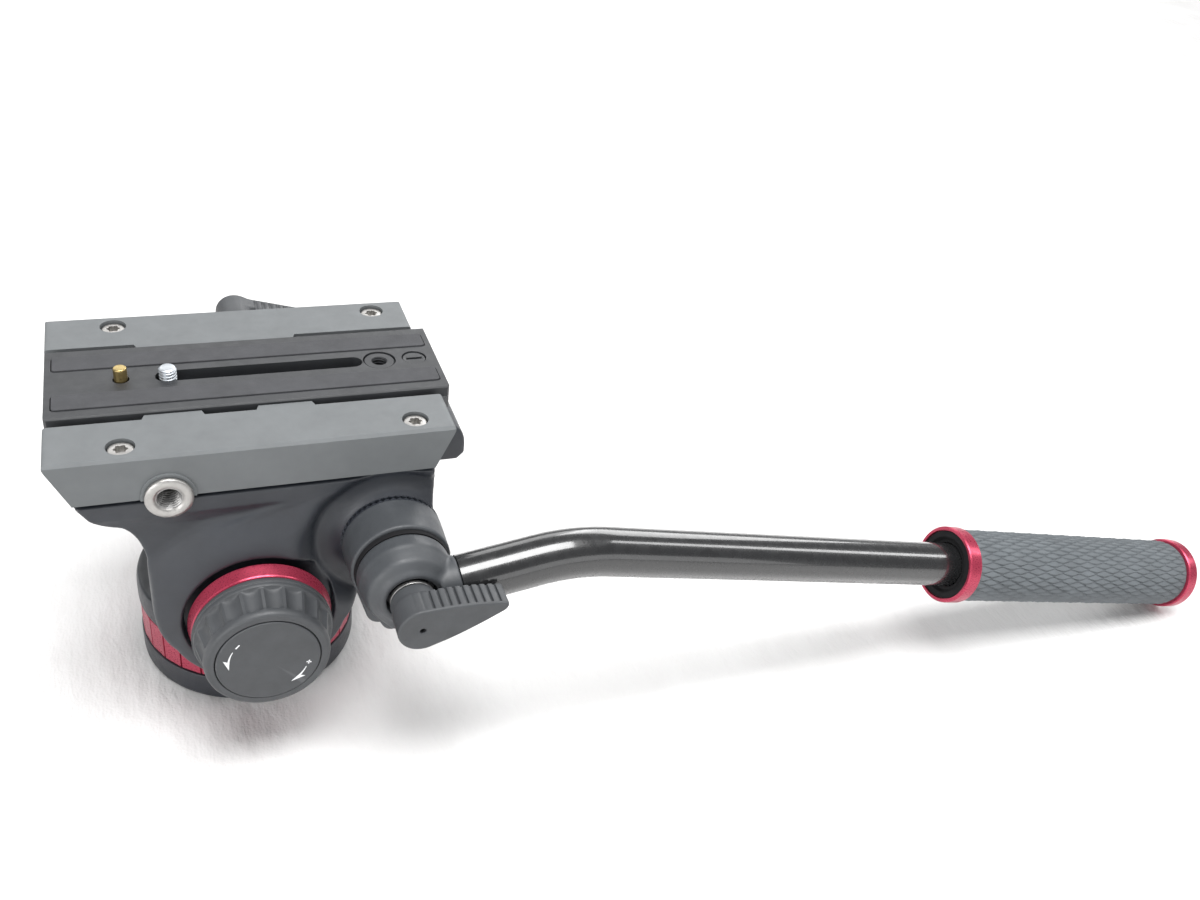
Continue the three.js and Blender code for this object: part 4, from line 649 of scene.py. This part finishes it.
def threaded(radius, depth, pitch, low, high, axis, centre=ORIGIN, per_pitch=8, segments=48):
    """Rings of a screw thread: crests at the radius, roots deeper by the depth."""
    angle = turns(segments)
    rings = []
    for along in np.linspace(low, high, max(2, int(abs(high - low) / pitch * per_pitch))):
        phase = (along / pitch - angle / (2 * np.pi)) % 1.0
        wave = np.clip(np.abs(phase * 2 - 1) * 1.6 - 0.3, 0, 1)
        rings.append(on_axis(axis, radius + depth * wave, along, angle, centre))
    return rings


def base_foot():
    body = lathe([(9.3, 0.0), (43.35, 0.0, 2.6), (43.35, 12.0, 0.4), (36.15, 12.0), (36.15, 20.0, 0.3),
                  (30.15, 20.0, 0.3), (30.15, 9.0), (9.3, 9.0)], "z", segments=144, closed=True)
    steps = []
    for u, v in FOOT_SCREWS:
        steps += [(CUT, rod(3.8, -2, 4.7, "z", (u, v, 0), 32)), (CUT, rod(2.2, -2, 11, "z", (u, v, 0), 32))]
    carved("base_foot_turned", body, steps, "base", "cast_black", "base_foot", bevel=0.12, angle=40)
    bore = rings_at([(4.95, 0.3), (4.25, 1.1)], "z") + threaded(3.85, 0.42, 1.5875, 1.3, 13.2, "z")
    outer = rings_at([(4.3, 13.5), (8.7, 13.5), (9.0, 13.2), (9.0, 0.5), (8.8, 0.3)], "z")
    show("tripod_bush_threaded", *skin(bore + outer, wrap=True), "base", "bright_steel", "tripod_thread_bush", angle=40)


def screw(name, head, tall, shank, length, place, turn, body, node, drive=0.5, edge=0.5):
    """A screw whose head looks along -Z before it is turned and placed, with a six-lobed drive."""
    angle = turns(72)
    star = head * drive * (1 + 0.13 * np.cos(6 * angle))
    sunk, end = tall * 0.55, tall + length
    outline = [(0.0, sunk), (star * 0.96, sunk), (star, 0.12), (star * 1.05, 0.0), (head - edge, 0.0),
               (head - edge * 0.3, edge * 0.28), (head, edge), (head, tall), (shank, tall), (shank, end - 0.6),
               (shank - 0.6, end), (0.0, end)]
    points, faces = skin([on_axis("z", radius, along, angle) for radius, along in outline], caps=False)
    turned = np.array(points) @ np.array(Matrix(turn)).T + np.array(place)
    show(name, turned, faces, body, "bright_steel", node, angle=30)


UPRIGHT = ((1, 0, 0), (0, 1, 0), (0, 0, 1))
DOWNWARD = ((1, 0, 0), (0, -1, 0), (0, 0, -1))
FROM_FAR = ((1, 0, 0), (0, 0, -1), (0, 1, 0))
FROM_REAR = ((0, 0, -1), (0, 1, 0), (1, 0, 0))

base_foot()
for number, at in enumerate(FOOT_SCREWS, 1):
    screw(f"foot_screw_head_{number}", 3.5, 3.4, 1.9, 8.6, (*at, 1.0), UPRIGHT, "base", f"foot_screw_{number}", 0.45)
for number, (side, along) in enumerate([(side, along) for side in (-1, 1) for along in RAIL_SCREWS], 1):
    screw(f"rail_screw_head_{number}", 4.35, 4.0, 2.4, 20.0, (along, side * RAIL_SCREW_Y, 129.0), DOWNWARD, "tilt_head",
          f"rail_screw_{number}", edge=0.7)
screw("tilt_lock_screw_head", 4.6, 4.0, 2.5, 28.7, (0, 68.0, TILT_Z), FROM_FAR, "tilt_lock", "tilt_lock_screw")
screw("plate_lock_screw_head", 4.4, 3.0, 2.8, 33.6, (6, 65.5, 121.0), FROM_FAR, "plate_lock", "plate_lock_screw", 0.42)
screw("pan_lock_screw_head", 3.6, 2.6, 2.0, 17.9, (53.5, 0, 30.3), FROM_REAR, "pan_lock", "pan_lock_screw")


# Tilt drag knob

def knob_profile():
    """Radius, place on the axis, and how deep the flutes are."""
    back = [(0.0, -72.4), (8.45, -72.4), (8.45, -60.7), (24.8, -60.7), (25.25, -60.85), (25.4, -61.2), (25.4, -62.5),
            (25.3, -62.62), (25.08, -62.66), (24.98, -62.8), (24.95, -63.4), (24.9, -64.1), (24.7, -64.45)]
    sides = [(24.45, -64.6, 0.1), (24.35, -64.8, 0.45), (24.3, -65.1, 0.8)]
    sides += [(24.2 - 1.55 * k / 6, -65.7 - 7.6 * k / 6, 1.0) for k in range(7)]
    sides += [(22.6, -73.6, 0.8), (22.6, -73.85, 0.4), (22.58, -74.1, 0.08)]
    front = [(22.55, -74.4), (22.4, -75.4), (22.15, -76.2), (21.75, -76.75), (21.2, -77.05), (20.8, -77.1), (19.1, -77.1),
             (18.85, -76.9), (18.8, -74.1), (0.0, -74.1)]
    return [(*p, 0) for p in back] + sides + [(*p, 0) for p in front]


def tilt_drag_knob():
    flutes, samples = 20, 14
    count = flutes * samples
    angle = turns(count)
    across = (np.arange(count) % samples) / samples
    hollow = np.clip(np.sin(np.pi * np.clip((across - 0.09) / 0.82, 0, 1)), 0, 1) ** 0.6
    rings = [on_axis("y", r - 1.25 * deep * hollow, y, angle, TILT_AT) for r, y, deep in knob_profile()]
    show("tilt_drag_knob_moulded", *skin(rings, caps=False), "tilt_drag", "knob_grey", "tilt_drag_knob", angle=28)
    ring = [(14.0, -53.7), (25.7, -53.7, 0.3), (26.2, -54.2, 0.3), (25.3, -59.3, 0.3), (25.0, -59.8), (25.0, -60.3),
            (24.7, -60.4), (14.0, -60.4)]
    show_turned("tilt_drag_ring_turned", ring, "y", TILT_AT, "tilt_drag", "anodised_red", "tilt_drag_ring", 144, True,
                angle=25)


def cap_marks():
    """Two curved arrows with a minus and a plus, as flat shapes on the cap: X and Z from its centre."""
    def arrow(start, neck, tip, radius):
        outer, inner = ([polar(radius + side * (0.12 + 0.22 * t), start + (neck - start) * t)
                         for t in np.linspace(0, 1, 9)] for side in (1, -1))
        return [*outer, polar(radius + 2.0, neck - 0.12 * (tip - neck)), polar(radius - 0.1, tip), *inner[::-1]]

    def bar(at, turn, length, width):
        u, v = length / 2, width / 2
        return rotated([(-u, -v), (u, -v), (u, v), (-u, v)], turn, at)

    minus, plus = polar(14.0, 138), polar(14.6, -14)
    return [arrow(150, 170, 186, 14.1), arrow(-23, -41, -58, 14.3), bar(minus, 49, 2.1, 0.45), bar(plus, 76, 1.8, 0.5),
            bar(plus, -14, 1.8, 0.5)]


def tilt_drag_cap():
    cap = [(0.0, -74.4), (18.5, -74.4), (18.5, -77.2, 0.25), (18.2, -77.5, 0.2), (0.0, -77.5)]
    show_turned("tilt_drag_cap_disc", cap, "y", TILT_AT, "tilt_drag", "knob_grey", "tilt_drag_cap", 144, angle=30)
    for number, outline in enumerate(cap_marks()):
        points, faces = prism([(u, v + TILT_Z) for u, v in outline], "y", -77.54, -77.46)
        show(f"cap_mark_{number + 1}", points, faces, "tilt_drag", "knob_grey", angle=30, look="mark_white")


tilt_drag_knob()
tilt_drag_cap()


# Rails, inserts, plate

def mirrored(part):
    points, faces = part
    return [(x, -y, z) for x, y, z in points], [list(reversed(face)) for face in faces]


def rail(side, name, lips, *cuts):
    front, rear, low, high, nose_round = -66.2, 73.8, 112.5, 130.0, 2.6
    lean, shoulder = 8.0 / 17.5 * nose_round, high - nose_round
    outline = [(front + 8, low), (rear - 8, low), (rear - lean, shoulder),
               *bend((rear - lean, shoulder), (rear, high), (rear - nose_round, high), 16), (front + nose_round, high),
               *bend((front + nose_round, high), (front, high), (front + lean, shoulder), 16)]
    block = prism(outline, "y", -49.15, -26.1)
    steps = [(KEEP, prism([(-49.15, 112.5), (-26.1, 112.5), (-26.1, 130), (-48.05, 130), (-49.15, 128.9)], "x", -80, 90)),
             (KEEP, prism(strip(front, rear, 11.525, -37.625), "z", 100, 140))]
    for start, end in lips:
        rise = 2.6 * 0.35
        plan = [(start, -23.5), (start - rise, -26.1), (start - rise, -28.1),
                (end + rise, -28.1), (end + rise, -26.1), (end, -23.5)]
        flank = 2.8 / 4.5
        bevel = [(-23.4, 126.3), (-23.5 - flank * 3.6, 126.3), (-23.5, 130.0), (-23.4, 130.0)]
        steps += [(ADD, prism(plan, "z", 126.4, 130.0)), (CUT, prism(bevel, "x", start - 8, end + 8))]
    below = math.degrees(math.asin(-0.9 / 9.2))
    collar = arc(INSERT, 9.2, below, 180 - below, 39)
    steps += [(ADD, prism(collar, "y", -49.95, -47.0)), (CUT, rod(6.5, -55, -39.7, "y", INSERT_AT))]
    for along in RAIL_SCREWS:
        at = (along, -RAIL_SCREW_Y, 0)
        steps += [(CUT, rod(4.8, 124.7, 133, "z", at)), (CUT, rod(2.7, 110, 126, "z", at, 32))]
    steps += [(CUT, part) for part in cuts]
    if side > 0:
        block = mirrored(block)
        steps = [(kind, mirrored(part)) for kind, part in steps]
    carved(f"{name}_milled", block, steps, "tilt_head", "rail_grey", name, bevel=0.35, angle=28)


def accessory_insert(side, name):
    mouth = rings_at([(5.6, -52.1), (5.1, -51.9), (4.5, -51.2)], "y", INSERT_AT, 64)
    bore = threaded(4.0, 0.5, 1.27, -51.1, -41.0, "y", INSERT_AT, 9, 64)
    outer = rings_at([(4.4, -40.0), (6.2, -40.0), (6.2, -50.25), (8.0, -50.25), (8.1, -50.35), (8.1, -51.2), (7.9, -51.5),
                      (7.0, -52.0), (6.6, -52.1)], "y", INSERT_AT, 64)
    shell = skin(outer + mouth, caps=False)
    thread = skin(mouth[-1:] + bore + outer[:1], caps=False)
    # The bore's thread takes the darker steel: painted shade inside the hole.
    for label, part, look in (("ring", shell, None), ("thread", thread, "steel_painted_shade")):
        points, faces = mirrored(part) if side > 0 else part
        show(f"{name}_{label}", points, faces, "tilt_head", "bright_steel", name, angle=38, look=look)


def round_slot(front, rear, half):
    return [*arc((rear - half, 0.0), half, -90, 90, 12), *arc((front + half, 0.0), half, 90, 270, 12)]


def strip(front, rear, half, y, corner=1.8):
    """A long rectangle with rounded corners."""
    ends = ((rear, -half), (rear, half), (front, half), (front, -half))
    return fillet([(u, y + v, corner) for u, v in ends], closed=True, steps=6)


def camera_plate():
    flank = [(25, 121), (25, 126.0), (23.0, 126.6), (22.8, 130.4), (22.2, 131)]
    section = prism([*flank, *[(-y, z) for y, z in reversed(flank)]], "x", -65, 77)
    plan = prism([(-62, -25), (74, -25), (77, -22), (77, 22), (74, 25), (-62, 25), (-65, 22), (-65, -22)], "z", 119, 133)
    pockets = [prism(strip(-62.8, 74.8, 5.05, side * PAD_Y), "z", 129.5, 134) for side in (-1, 1)]
    slots = [prism(round_slot(-27.8, 47.8, 3.6), "z", 119, 134), prism(round_slot(-31.8, 48.0, 8.2), "z", 119, 125.6)]
    bores = [rod(radius, low, high, "z", at, sides) for radius, low, high, at, sides in (
        (2.85, 120, 134, PIN_AT, 64), (4.05, 119, 127.6, PIN_AT, 64), (6.3, 126.7, 134, REDUCER_AT, 64),
        (2.75, 119, 130, REDUCER_AT, 32), (4.8, 126.7, 134, PLUG_AT, 64))]
    steps = [(KEEP, plan), *((CUT, part) for part in pockets + slots + bores)]
    body = "sliding_plate"
    carved("camera_plate_milled", section, steps, body, "plate_black", "camera_plate", bevel=0.25, angle=28)
    for name, side in (("near", -1), ("far", 1)):
        pad = prism(strip(-62.5, 74.5, 4.75, side * PAD_Y, 1.5), "z", 129.8, 131.5)
        carved(f"plate_pad_{name}_strip", pad, [], body, "pad_rubber", f"plate_pad_{name}", bevel=0.3)
    reducer = rings_at([(3.15, 130.6), (2.9, 130.2)], "z", REDUCER_AT)
    reducer += threaded(2.75, 0.3, 1.27, 130.1, 127.1, "z", REDUCER_AT)
    reducer += rings_at([(3.0, 127.0), (6.0, 127.0), (6.0, 130.2), (5.6, 130.6)], "z", REDUCER_AT)
    show("reducer_bush_threaded", *skin(reducer, wrap=True), body, "plate_black", "reducer_bush", angle=38)
    plug = lathe([(0.0, 127.0), (4.5, 127.0), (4.5, 130.6, 0.4), (0.0, 130.6)], "z", PLUG_AT, 64)
    slot = brick((65.05, -0.7, 129.6), (71.35, 0.7, 133))
    carved("plate_plug_slotted", plug, [(CUT, slot)], body, "plate_black", "plate_plug", bevel=0.1)


def camera_screw():
    shaft = rings_at([(0.01, 121.2), (7.1, 121.2), (7.4, 121.5), (7.4, 123.9), (7.1, 124.2), (3.1, 124.2), (3.1, 130.0)],
                     "z", SCREW_AT)
    thread = threaded(2.68, 0.49, 1.27, 130.1, 134.3, "z", SCREW_AT, 10)
    tip = rings_at([(2.75, 134.5), (2.4, 134.8), (0.01, 134.8)], "z", SCREW_AT)
    slot = brick((-28.5, -0.7, 119), (-18.1, 0.7, 122.7))
    name = "camera_screw"
    carved(f"{name}_threaded", skin(shaft + thread + tip), [(CUT, slot)], name, "zinc", name, angle=38)
    pin = [(0.0, 125.3), (3.6, 125.3, 0.2), (3.6, 127.3, 0.2), (2.4, 127.3), (2.4, 136.0, 0.7), (0.0, 136.0)]
    show_turned("locating_pin_turned", pin, "z", PIN_AT, "locating_pin", "brass", "locating_pin", 64)


rail(-1, "rail_near", [(-32.8, -13.6), (5.9, 24.9)])
rail(1, "rail_far", [(-33.2, 24.8)], rod(3.25, -52, -22, "y", (6, 0, 121)), rod(4.05, -52, -27.55, "y", (45, 0, 121)))
accessory_insert(-1, "accessory_insert_near")
accessory_insert(1, "accessory_insert_far")
camera_plate()
camera_screw()


# Pan bar

BAR_RISE, GRIP_DROP = math.radians(8.9), math.radians(12.3)


def turned_axes(u, v, turn):
    """Coordinates along and across a direction."""
    c, s = math.cos(turn), math.sin(turn)
    return u * c + v * s, -u * s + v * c


def tapered_arm(length, root, tip, turn, centre=(0.0, 0.0)):
    lean = math.degrees(math.asin((root - tip) / length))
    outline = [*arc((length, 0), tip, lean - 90, 90 - lean, 20), *arc((0, 0), root, 90 - lean, 270 + lean, 40)]
    return rotated(outline, turn, centre)


def arm_field(arm, u, v, along, low, high, edge):
    return slab(polygon(tapered_arm(*arm), u, v), along, low, high, edge)


def hub_pieces():
    (x, y, z), box = grid((18, -69, 50), (71, -50, 103), 0.4)
    radial = radius_of(x, z, HUB)
    profile = [(0, -67.0), (18.3, -67.0), (18.6, -66.7), (19.15, -51.5), (18.9, -51.05), (0, -51.05)]
    body = polygon(profile, radial, y)
    body = union(body, arm_field((22.8, 18.6, 5.6, -108, HUB), x, z, y, -67.0, -53.75, 0.8), 0.8)
    body = without(body, radial - 3.9)
    # The rosette takes the lighter copy of the casting paint: painted light.
    cast("bar_rosette_casting", body, box, "pan_bar", "cast_black", "bar_rosette", look="cast_painted_light")
    teeth("bar_teeth", -51.4, -51.05, 0.9, "pan_bar", "bar_rosette")
    spacer = prism(tapered_arm(18.8, 17.6, 4.4, -106, HUB), "y", -69.6, -67.3)
    bore = rod(3.9, -72, -65, "y", HUB_AT)
    carved("bar_spacer_ring", spacer, [(CUT, bore)], "pan_bar", "black_plastic", "bar_spacer", bevel=0.15)

    (x, y, z), box = grid((24, -91, 56), (84, -69, 101), 0.4)
    radial = radius_of(x, z, HUB)
    tail = arm_field((19.8, 16.9, 4.2, -103, HUB), x, z, y, -75.5, -69.9, 0.7)
    lip = arm_field((13.0, 15.4, 5.0, -105, HUB), x, z, y, -82.9, -75.2, 2.2)
    profile = [(0, -69.9), (16.6, -69.9), (16.9, -70.2), (16.9, -75.5),
               *bend((16.9, -75.5), (16.7, -78.5), (15.0, -80.9), 10), (11.6, -85.1), (10.9, -85.6), (0, -85.6)]
    body = union(polygon(profile, radial, y), union(tail, lip, 1.0), 2.0)
    along, across = turned_axes(x - HUB[0], z - HUB[1] + 2.8, BAR_RISE)
    round_tube = np.sqrt(across ** 2 + (y - BAR_Y) ** 2)
    for radius, low, high, blend in ((9.7, 11.1, 18.9, 1.2), (7.75, 11.7, 34.1, 0.0)):
        body = union(body, np.maximum(round_tube - radius, np.maximum(low - along, along - high)), blend)
    body = bored(body, np.maximum(radial - 9.3, 6.6 - radial), y + 79.4, 0.4)
    body = without(body, radial - 3.9)
    # The socket takes the lighter copy of the casting paint: painted light.
    cast("bar_socket_casting", body, box, "pan_bar", "cast_black", "bar_socket", look="cast_painted_light")


def clamp_washer():
    ring = [(3.9, -84.7), (8.2, -84.7), (8.2, -86.1, 0.3), (3.9, -86.1)]
    # The darker steel is painted shade, where the washer sits in the dark recess.
    show_turned("clamp_washer_turned", ring, "y", HUB_AT, "pan_bar", "bright_steel", "clamp_washer", closed=True,
                angle=30, look="steel_painted_shade")


def tube_stations(rear):
    """Places and slopes along the tube, to a distance from the bar's end."""
    rise, drop, bow = BAR_RISE, GRIP_DROP, 80.0
    start, end = np.array((HUB[0], HUB[1] - 2.8)), np.array(GRIP_END)
    fall = (end[0] - start[0]) * math.tan(drop)
    run = (end[1] - start[1] + fall) / (math.tan(rise) + math.tan(drop))
    corner = start + run * np.array((1, math.tan(rise)))
    up, down = np.array((math.cos(rise), math.sin(rise))), np.array((math.cos(drop), -math.sin(drop)))
    first = corner - up * bow * math.tan((rise + drop) / 2)
    centre = first + bow * np.array((up[1], -up[0]))
    bent = [(centre + bow * np.array((-math.sin(at), math.cos(at))), at) for at in np.linspace(rise, -drop, 25)]
    return [(start + 19.2 * up, rise), *bent, (end - down * rear, -drop)]


GRIP_END = (447.0, 17.2 * math.cos(GRIP_DROP) - 1.1 * math.sin(GRIP_DROP))


def pan_bar_tube():
    angle = turns(64)
    rings = []
    for radius, order in ((9.7, 1), (8.1, -1)):
        up, out = radius * np.sin(angle), BAR_Y + radius * np.cos(angle)
        for at, slope in tube_stations(3.3)[::order]:
            rings.append(np.stack([at[0] - up * math.sin(slope), out, at[1] + up * math.cos(slope)], -1))
    show("pan_bar_tube_drawn", *skin(rings, wrap=True), "pan_bar", "tube_black", "pan_bar_tube", angle=30)


def on_grip(part):
    """A part built along X from the bar's end, set on the fall of the bar."""
    x, y, z = np.asarray(part[0], float).T
    c, s = math.cos(GRIP_DROP), math.sin(GRIP_DROP)
    return np.stack([GRIP_END[0] + x * c + z * s, y + BAR_Y, GRIP_END[1] - x * s + z * c], -1), part[1]


def weave(along, position):
    """How high the sleeve's relief is, from 0 to 1, between the two zigzag lines about each position."""
    edges = [np.floor(position) + k for k in (-1, 0, 1, 2)]
    edges = [edge + 0.38 * (np.abs(((along / 11.2 + edge * 0.5) % 1.0) * 2 - 1) * 2 - 1) for edge in edges]
    low = np.max([np.where(edge <= position, edge, -1e9) for edge in edges], axis=0)
    high = np.min([np.where(edge > position, edge, 1e9) for edge in edges], axis=0)
    share = (position - low) / np.maximum(high - low, 1e-6)
    width = np.clip((high - low) / 1.8, 0, 1)
    relief = np.clip(share / 0.8, 0, 1) ** 0.7 * np.clip((1 - share) / 0.2, 0, 1) ** 0.6
    return relief * (0.45 + 0.55 * width)


def grip():
    rows, lines, low, high = 200, 52, -147.7, -6.3
    angle = turns(432)
    rings = []
    for k, along in enumerate(np.linspace(low, high, rows)):
        ends = min(1.0, (k + 0.5) / 4, (rows - k - 0.5) / 4)
        radius = 15.35 + 1.05 * weave(along, angle / (2 * np.pi) * lines) * ends
        rings.append(on_axis("x", radius, along, angle))
    front, rear = ([on_axis("x", radius, end, angle) for radius in (13.4, 15.4)] for end in (low, high))
    sleeve = skin([*front, *rings, *rear[::-1]], wrap=True)
    show("grip_sleeve_moulded", *on_grip(sleeve), "pan_bar", "grip_rubber", "grip_sleeve", angle=50)
    for name, low, high in (("front", -155.0, -148.0), ("rear", -6.0, 0.0)):
        rim = [(13.4, low + 1.6), (15.6, low + 1.6), (15.6, low + 0.1)] if name == "front" else [(13.4, low)]
        rim += [(16.7, low, 0.15), (17.2, low + 0.6, 0.2), (17.2, high - 0.6, 0.2), (16.7, high, 0.15), (13.4, high)]
        ring = lathe(rim, "x", segments=144, closed=True)
        show(f"grip_ring_{name}_turned", *on_grip(ring), "pan_bar", "anodised_red", f"grip_ring_{name}", angle=28)
    collar = lathe([(10.0, -153.2), (11.4, -153.2, 0.3), (12.6, -154.4, 0.3), (15.3, -154.4, 0.3), (15.3, -153.6),
                    (13.1, -153.6), (13.1, -149.0), (10.0, -149.0)], "x", closed=True)
    show("grip_collar_moulded", *on_grip(collar), "pan_bar", "black_plastic", "grip_collar")
    cap = lathe([(0.0, -3.0), (13.1, -3.0), (13.1, -0.9, 0.5), (11.9, -0.3, 0.6), (9.8, -0.3, 0.3), (9.4, -0.75, 0.3),
                 (0.0, -0.75)], "x", caps=False)
    show("grip_end_cap_moulded", *on_grip(cap), "pan_bar", "black_plastic", "grip_end_cap")


hub_pieces()
clamp_washer()
pan_bar_tube()
grip()


# Levers

def clamp_lever():
    (x, y, z), box = grid((40, -103, 72.5), (83, -86, 93), 0.26)
    u, v = x - HUB[0], z - HUB[1]
    rim = arc((0, 0), 8.8, 100, 285, 60)
    tip = (30.6, 7.2)
    low, high = (tip[0] * 0.97, tip[1] * 0.52), (tip[0] * 1.03, tip[1] * 0.75)
    belly = (tip[0] * 0.42, -8.8 * 0.66)
    start = rim[0]
    run = (tip[0] - start[0], tip[1] - start[1])

    def crest(t):
        return start[0] + run[0] * t, start[1] + run[1] * t + 4.8 * t * (1 - t)

    top = [crest(t) for t in np.linspace(1, 0, 25)[:-1]]
    outline = [*rim, *bend(rim[-1], belly, low, 20), *bend(low, high, tip, 8), *top]
    body = slab(polygon(outline, u, v), y, -102.3, -91.2, 0.9)
    for k in range(11):
        at = -2.2 + 3.0 * k
        edge = crest(max(0.0, (at - start[0]) / run[0]))[1]
        groove = slab(np.maximum(np.abs(u - at) - 0.4, np.abs(v - edge) - 1.0), y, -101.0, -86.0, 0.1)
        body = without(body, groove, 0.2)
    radial = radius_of(x, z, HUB)
    profile = [(0, -102.3), (8.3, -102.3), (8.8, -101.8), (8.5, -87.0), (8.2, -86.6), (0, -86.6)]
    body = union(body, polygon(profile, radial, y), 0.3)
    body = bored(body, radial - 3.9, -98.3 - y)
    body = bored(body, radial - 1.1, y + 97.5, 0.3)
    cast("clamp_lever_moulded", body, box, "bar_clamp", "knob_grey", "clamp_lever", keep=0.45, angle=40)


def lever(name, rides, field, box, radial, bore, sunk, past):
    """A moulded lever, bored for its screw and sunk for the screw's head."""
    field = bored(without(field, radial - bore), radial - sunk, past, 0.3)
    cast(f"{name}_moulded", field, box, rides, "knob_grey", name, keep=0.45, angle=40)


def far_levers():
    (x, y, z), box = grid((-13, 53, 2), (27, 69, 69), 0.45)
    radial = radius_of(x, z, TILT)
    profile = [(0, 53.8), (11.9, 53.8), (12, 54), (10.7, 67.0), *bend((10.7, 67.0), (10.5, 68.0), (9.3, 68.0), 4),
               (0, 68.0)]
    arm = arm_field((46.0, 7.5, 5.0, -70, TILT), x, z, y, 57.0, 64.0, 1.3)
    body = union(polygon(profile, radial, y), arm, 2.0)
    lever("tilt_lock_lever", "tilt_lock", body, box, radial, 2.8, 4.9, 63.7 - y)

    (x, y, z), box = grid((-2.5, 49.5, 106), (45, 66, 130), 0.4)
    u, v = x - PLATE_LOCK[0], z - PLATE_LOCK[1]
    radial = radius_of(x, z, PLATE_LOCK)
    along, across = turned_axes(u, v, math.radians(-10))
    body = arm_field((34.0, 6.6, 3.6, 0.0), along, across, y, 57.5, 65.5, 0.9)
    for k in range(9):
        at = 8.0 + 3.1 * k
        edge = 6.6 - 3.0 * at / 34.0
        groove = slab(np.maximum(np.abs(along - at) - 0.55, np.abs(across - edge) - 0.95), y, 56.0, 64.3, 0.1)
        body = without(body, groove, 0.35)
    body = union(body, slab(radial - 7.4, y, 50.0, 65.5, 0.8), 1.0)
    lever("plate_lock_lever", "plate_lock", body, box, radial, 3.1, 4.7, 62.2 - y)

    (x, y, z), box = grid((43, -7.5, 23), (54, 30, 38), 0.35)
    radial = radius_of(y, z, PAN_LOCK)
    hub = slab(radial - 6.6, x, 43.8, 53.5, 0.6)
    arm = arm_field((25.0, 6.6, 4.2, 0.0, PAN_LOCK), y, z, x, 48.1, 53.5, 1.0)
    lever("pan_lock_lever", "pan_lock", union(hub, arm, 0.8), box, radial, 2.3, 3.9, 50.6 - x)

    button = [(0.0, 31.0), (3.6, 31.0), (3.6, 53.2, 0.7), (2.2, 53.2, 0.3), (0.0, 52.9)]
    show_turned("plate_release_moulded", button, "y", RELEASE_AT, "plate_release", "red_plastic",
                "plate_release_button", 64)


def level():
    (x, y, z), box = grid((66, -13.5, 88), (88, 13.5, 107), 0.4)
    side = [(66.3, 91.3), (69.3, 88.3), (84.7, 88.3), (87.7, 91.3), (87.7, 95.0),
            *bend((87.7, 95.0), (87.7, 106.0), (76.7, 106.0), 16), (66.3, 106.0)]
    body = slab(polygon(side, x, z), y, -13, 13, 1.2)
    body = bored(body, radius_of(x, y, VIAL_AT[:2]) - 6.3, 100.5 - z, 0.5)
    cast("level_housing_moulded", body, box, "tilt_head", "cast_black", "level_housing", keep=0.45, angle=45)
    glass = [(0.0, 100.8), (6.0, 100.8), (6.0, 105.0, 0.3), (4.9, 105.0, 0.3), (4.8, 104.0, 0.3), (2.4, 104.4, 1.0),
             (0.0, 104.5)]
    show_turned("level_vial_dome", glass, "z", VIAL_AT, "tilt_head", "vial", "level_vial", 64)


clamp_lever()
far_levers()
level()


# Camera, floor and light

CAMERA_AT = Vector((-0.02744, -0.38684, 0.36778))
CAMERA_FORWARD = Vector((0.35150, 0.74670, -0.56470)).normalized()
CAMERA_RIGHT = Vector((0.930581, -0.344593, 0.123591)).normalized()
CAMERA_UP = CAMERA_RIGHT.cross(CAMERA_FORWARD).normalized()

camera = placed("camera", bpy.data.cameras.new("camera"))
camera.data.sensor_width = 36.0
camera.data.lens = 34.62
camera.data.clip_start = 0.01
CAMERA_AXES = Matrix((CAMERA_RIGHT, CAMERA_UP, -CAMERA_FORWARD)).transposed()
camera.matrix_world = Matrix.Translation(CAMERA_AT) @ CAMERA_AXES.to_4x4()
SCENE.camera = camera


def floor():
    reach = 9.0
    corners = [(-reach, -reach, 0), (reach, -reach, 0), (reach, reach, 0), (-reach, reach, 0)]
    made = placed("floor", mesh_of("floor", corners, [(0, 1, 2, 3)]))
    s = Shader("floor", 0.9)
    s.drive("Base Color", s.ramp(s.noise(14.0, 4.0), ((0.66, 0.653, 0.648), (0.73, 0.726, 0.722))))
    folds = s.bump(s.noise(1.0, 3.0, place=s.stretched((120.0, 45.0, 1.0))), 0.0014)
    s.bump(s.noise(900.0, 2.0), 0.00015, under=folds)
    made.data.materials.append(s.material)


def area(name, at, towards, size, power):
    light = bpy.data.lights.new(name, "AREA")
    light.shape = "RECTANGLE"
    light.size, light.size_y = size
    light.energy = power
    made = placed(name, light)
    made.location = at
    made.rotation_mode = "QUATERNION"
    made.rotation_quaternion = (Vector(towards) - Vector(at)).to_track_quat("-Z", "Y")


floor()
area("key", (-1.2, -0.9, 0.55), (0.03, 0.0, 0.06), (1.0, 0.8), 12.0)
area("front", (0.15, -1.6, 0.36), (0.1, 0.0, 0.08), (2.6, 0.6), 8.0)
area("back", (-0.2, 1.4, 1.0), (0.1, 0.0, 0.05), (2.6, 0.7), 13.0)
area("top", (0.1, -0.35, 1.8), (0.1, -0.05, 0.0), (1.2, 0.9), 46.0)
area("right", (1.42, -0.23, 1.0), (0.25, -0.08, 0.07), (0.25, 1.0), 6.0)
area("far", (2.2, 2.6, 1.8), (1.6, 1.8, 0.0), (2.0, 2.0), 60.0)
world = bpy.data.worlds.new("world")
world.use_nodes = True
sky = world.node_tree.nodes["Background"].inputs
sky["Color"].default_value = (0.97, 0.98, 1.0, 1.0)
sky["Strength"].default_value = 0.29
SCENE.world = world
SCENE.view_settings.view_transform = "Standard"
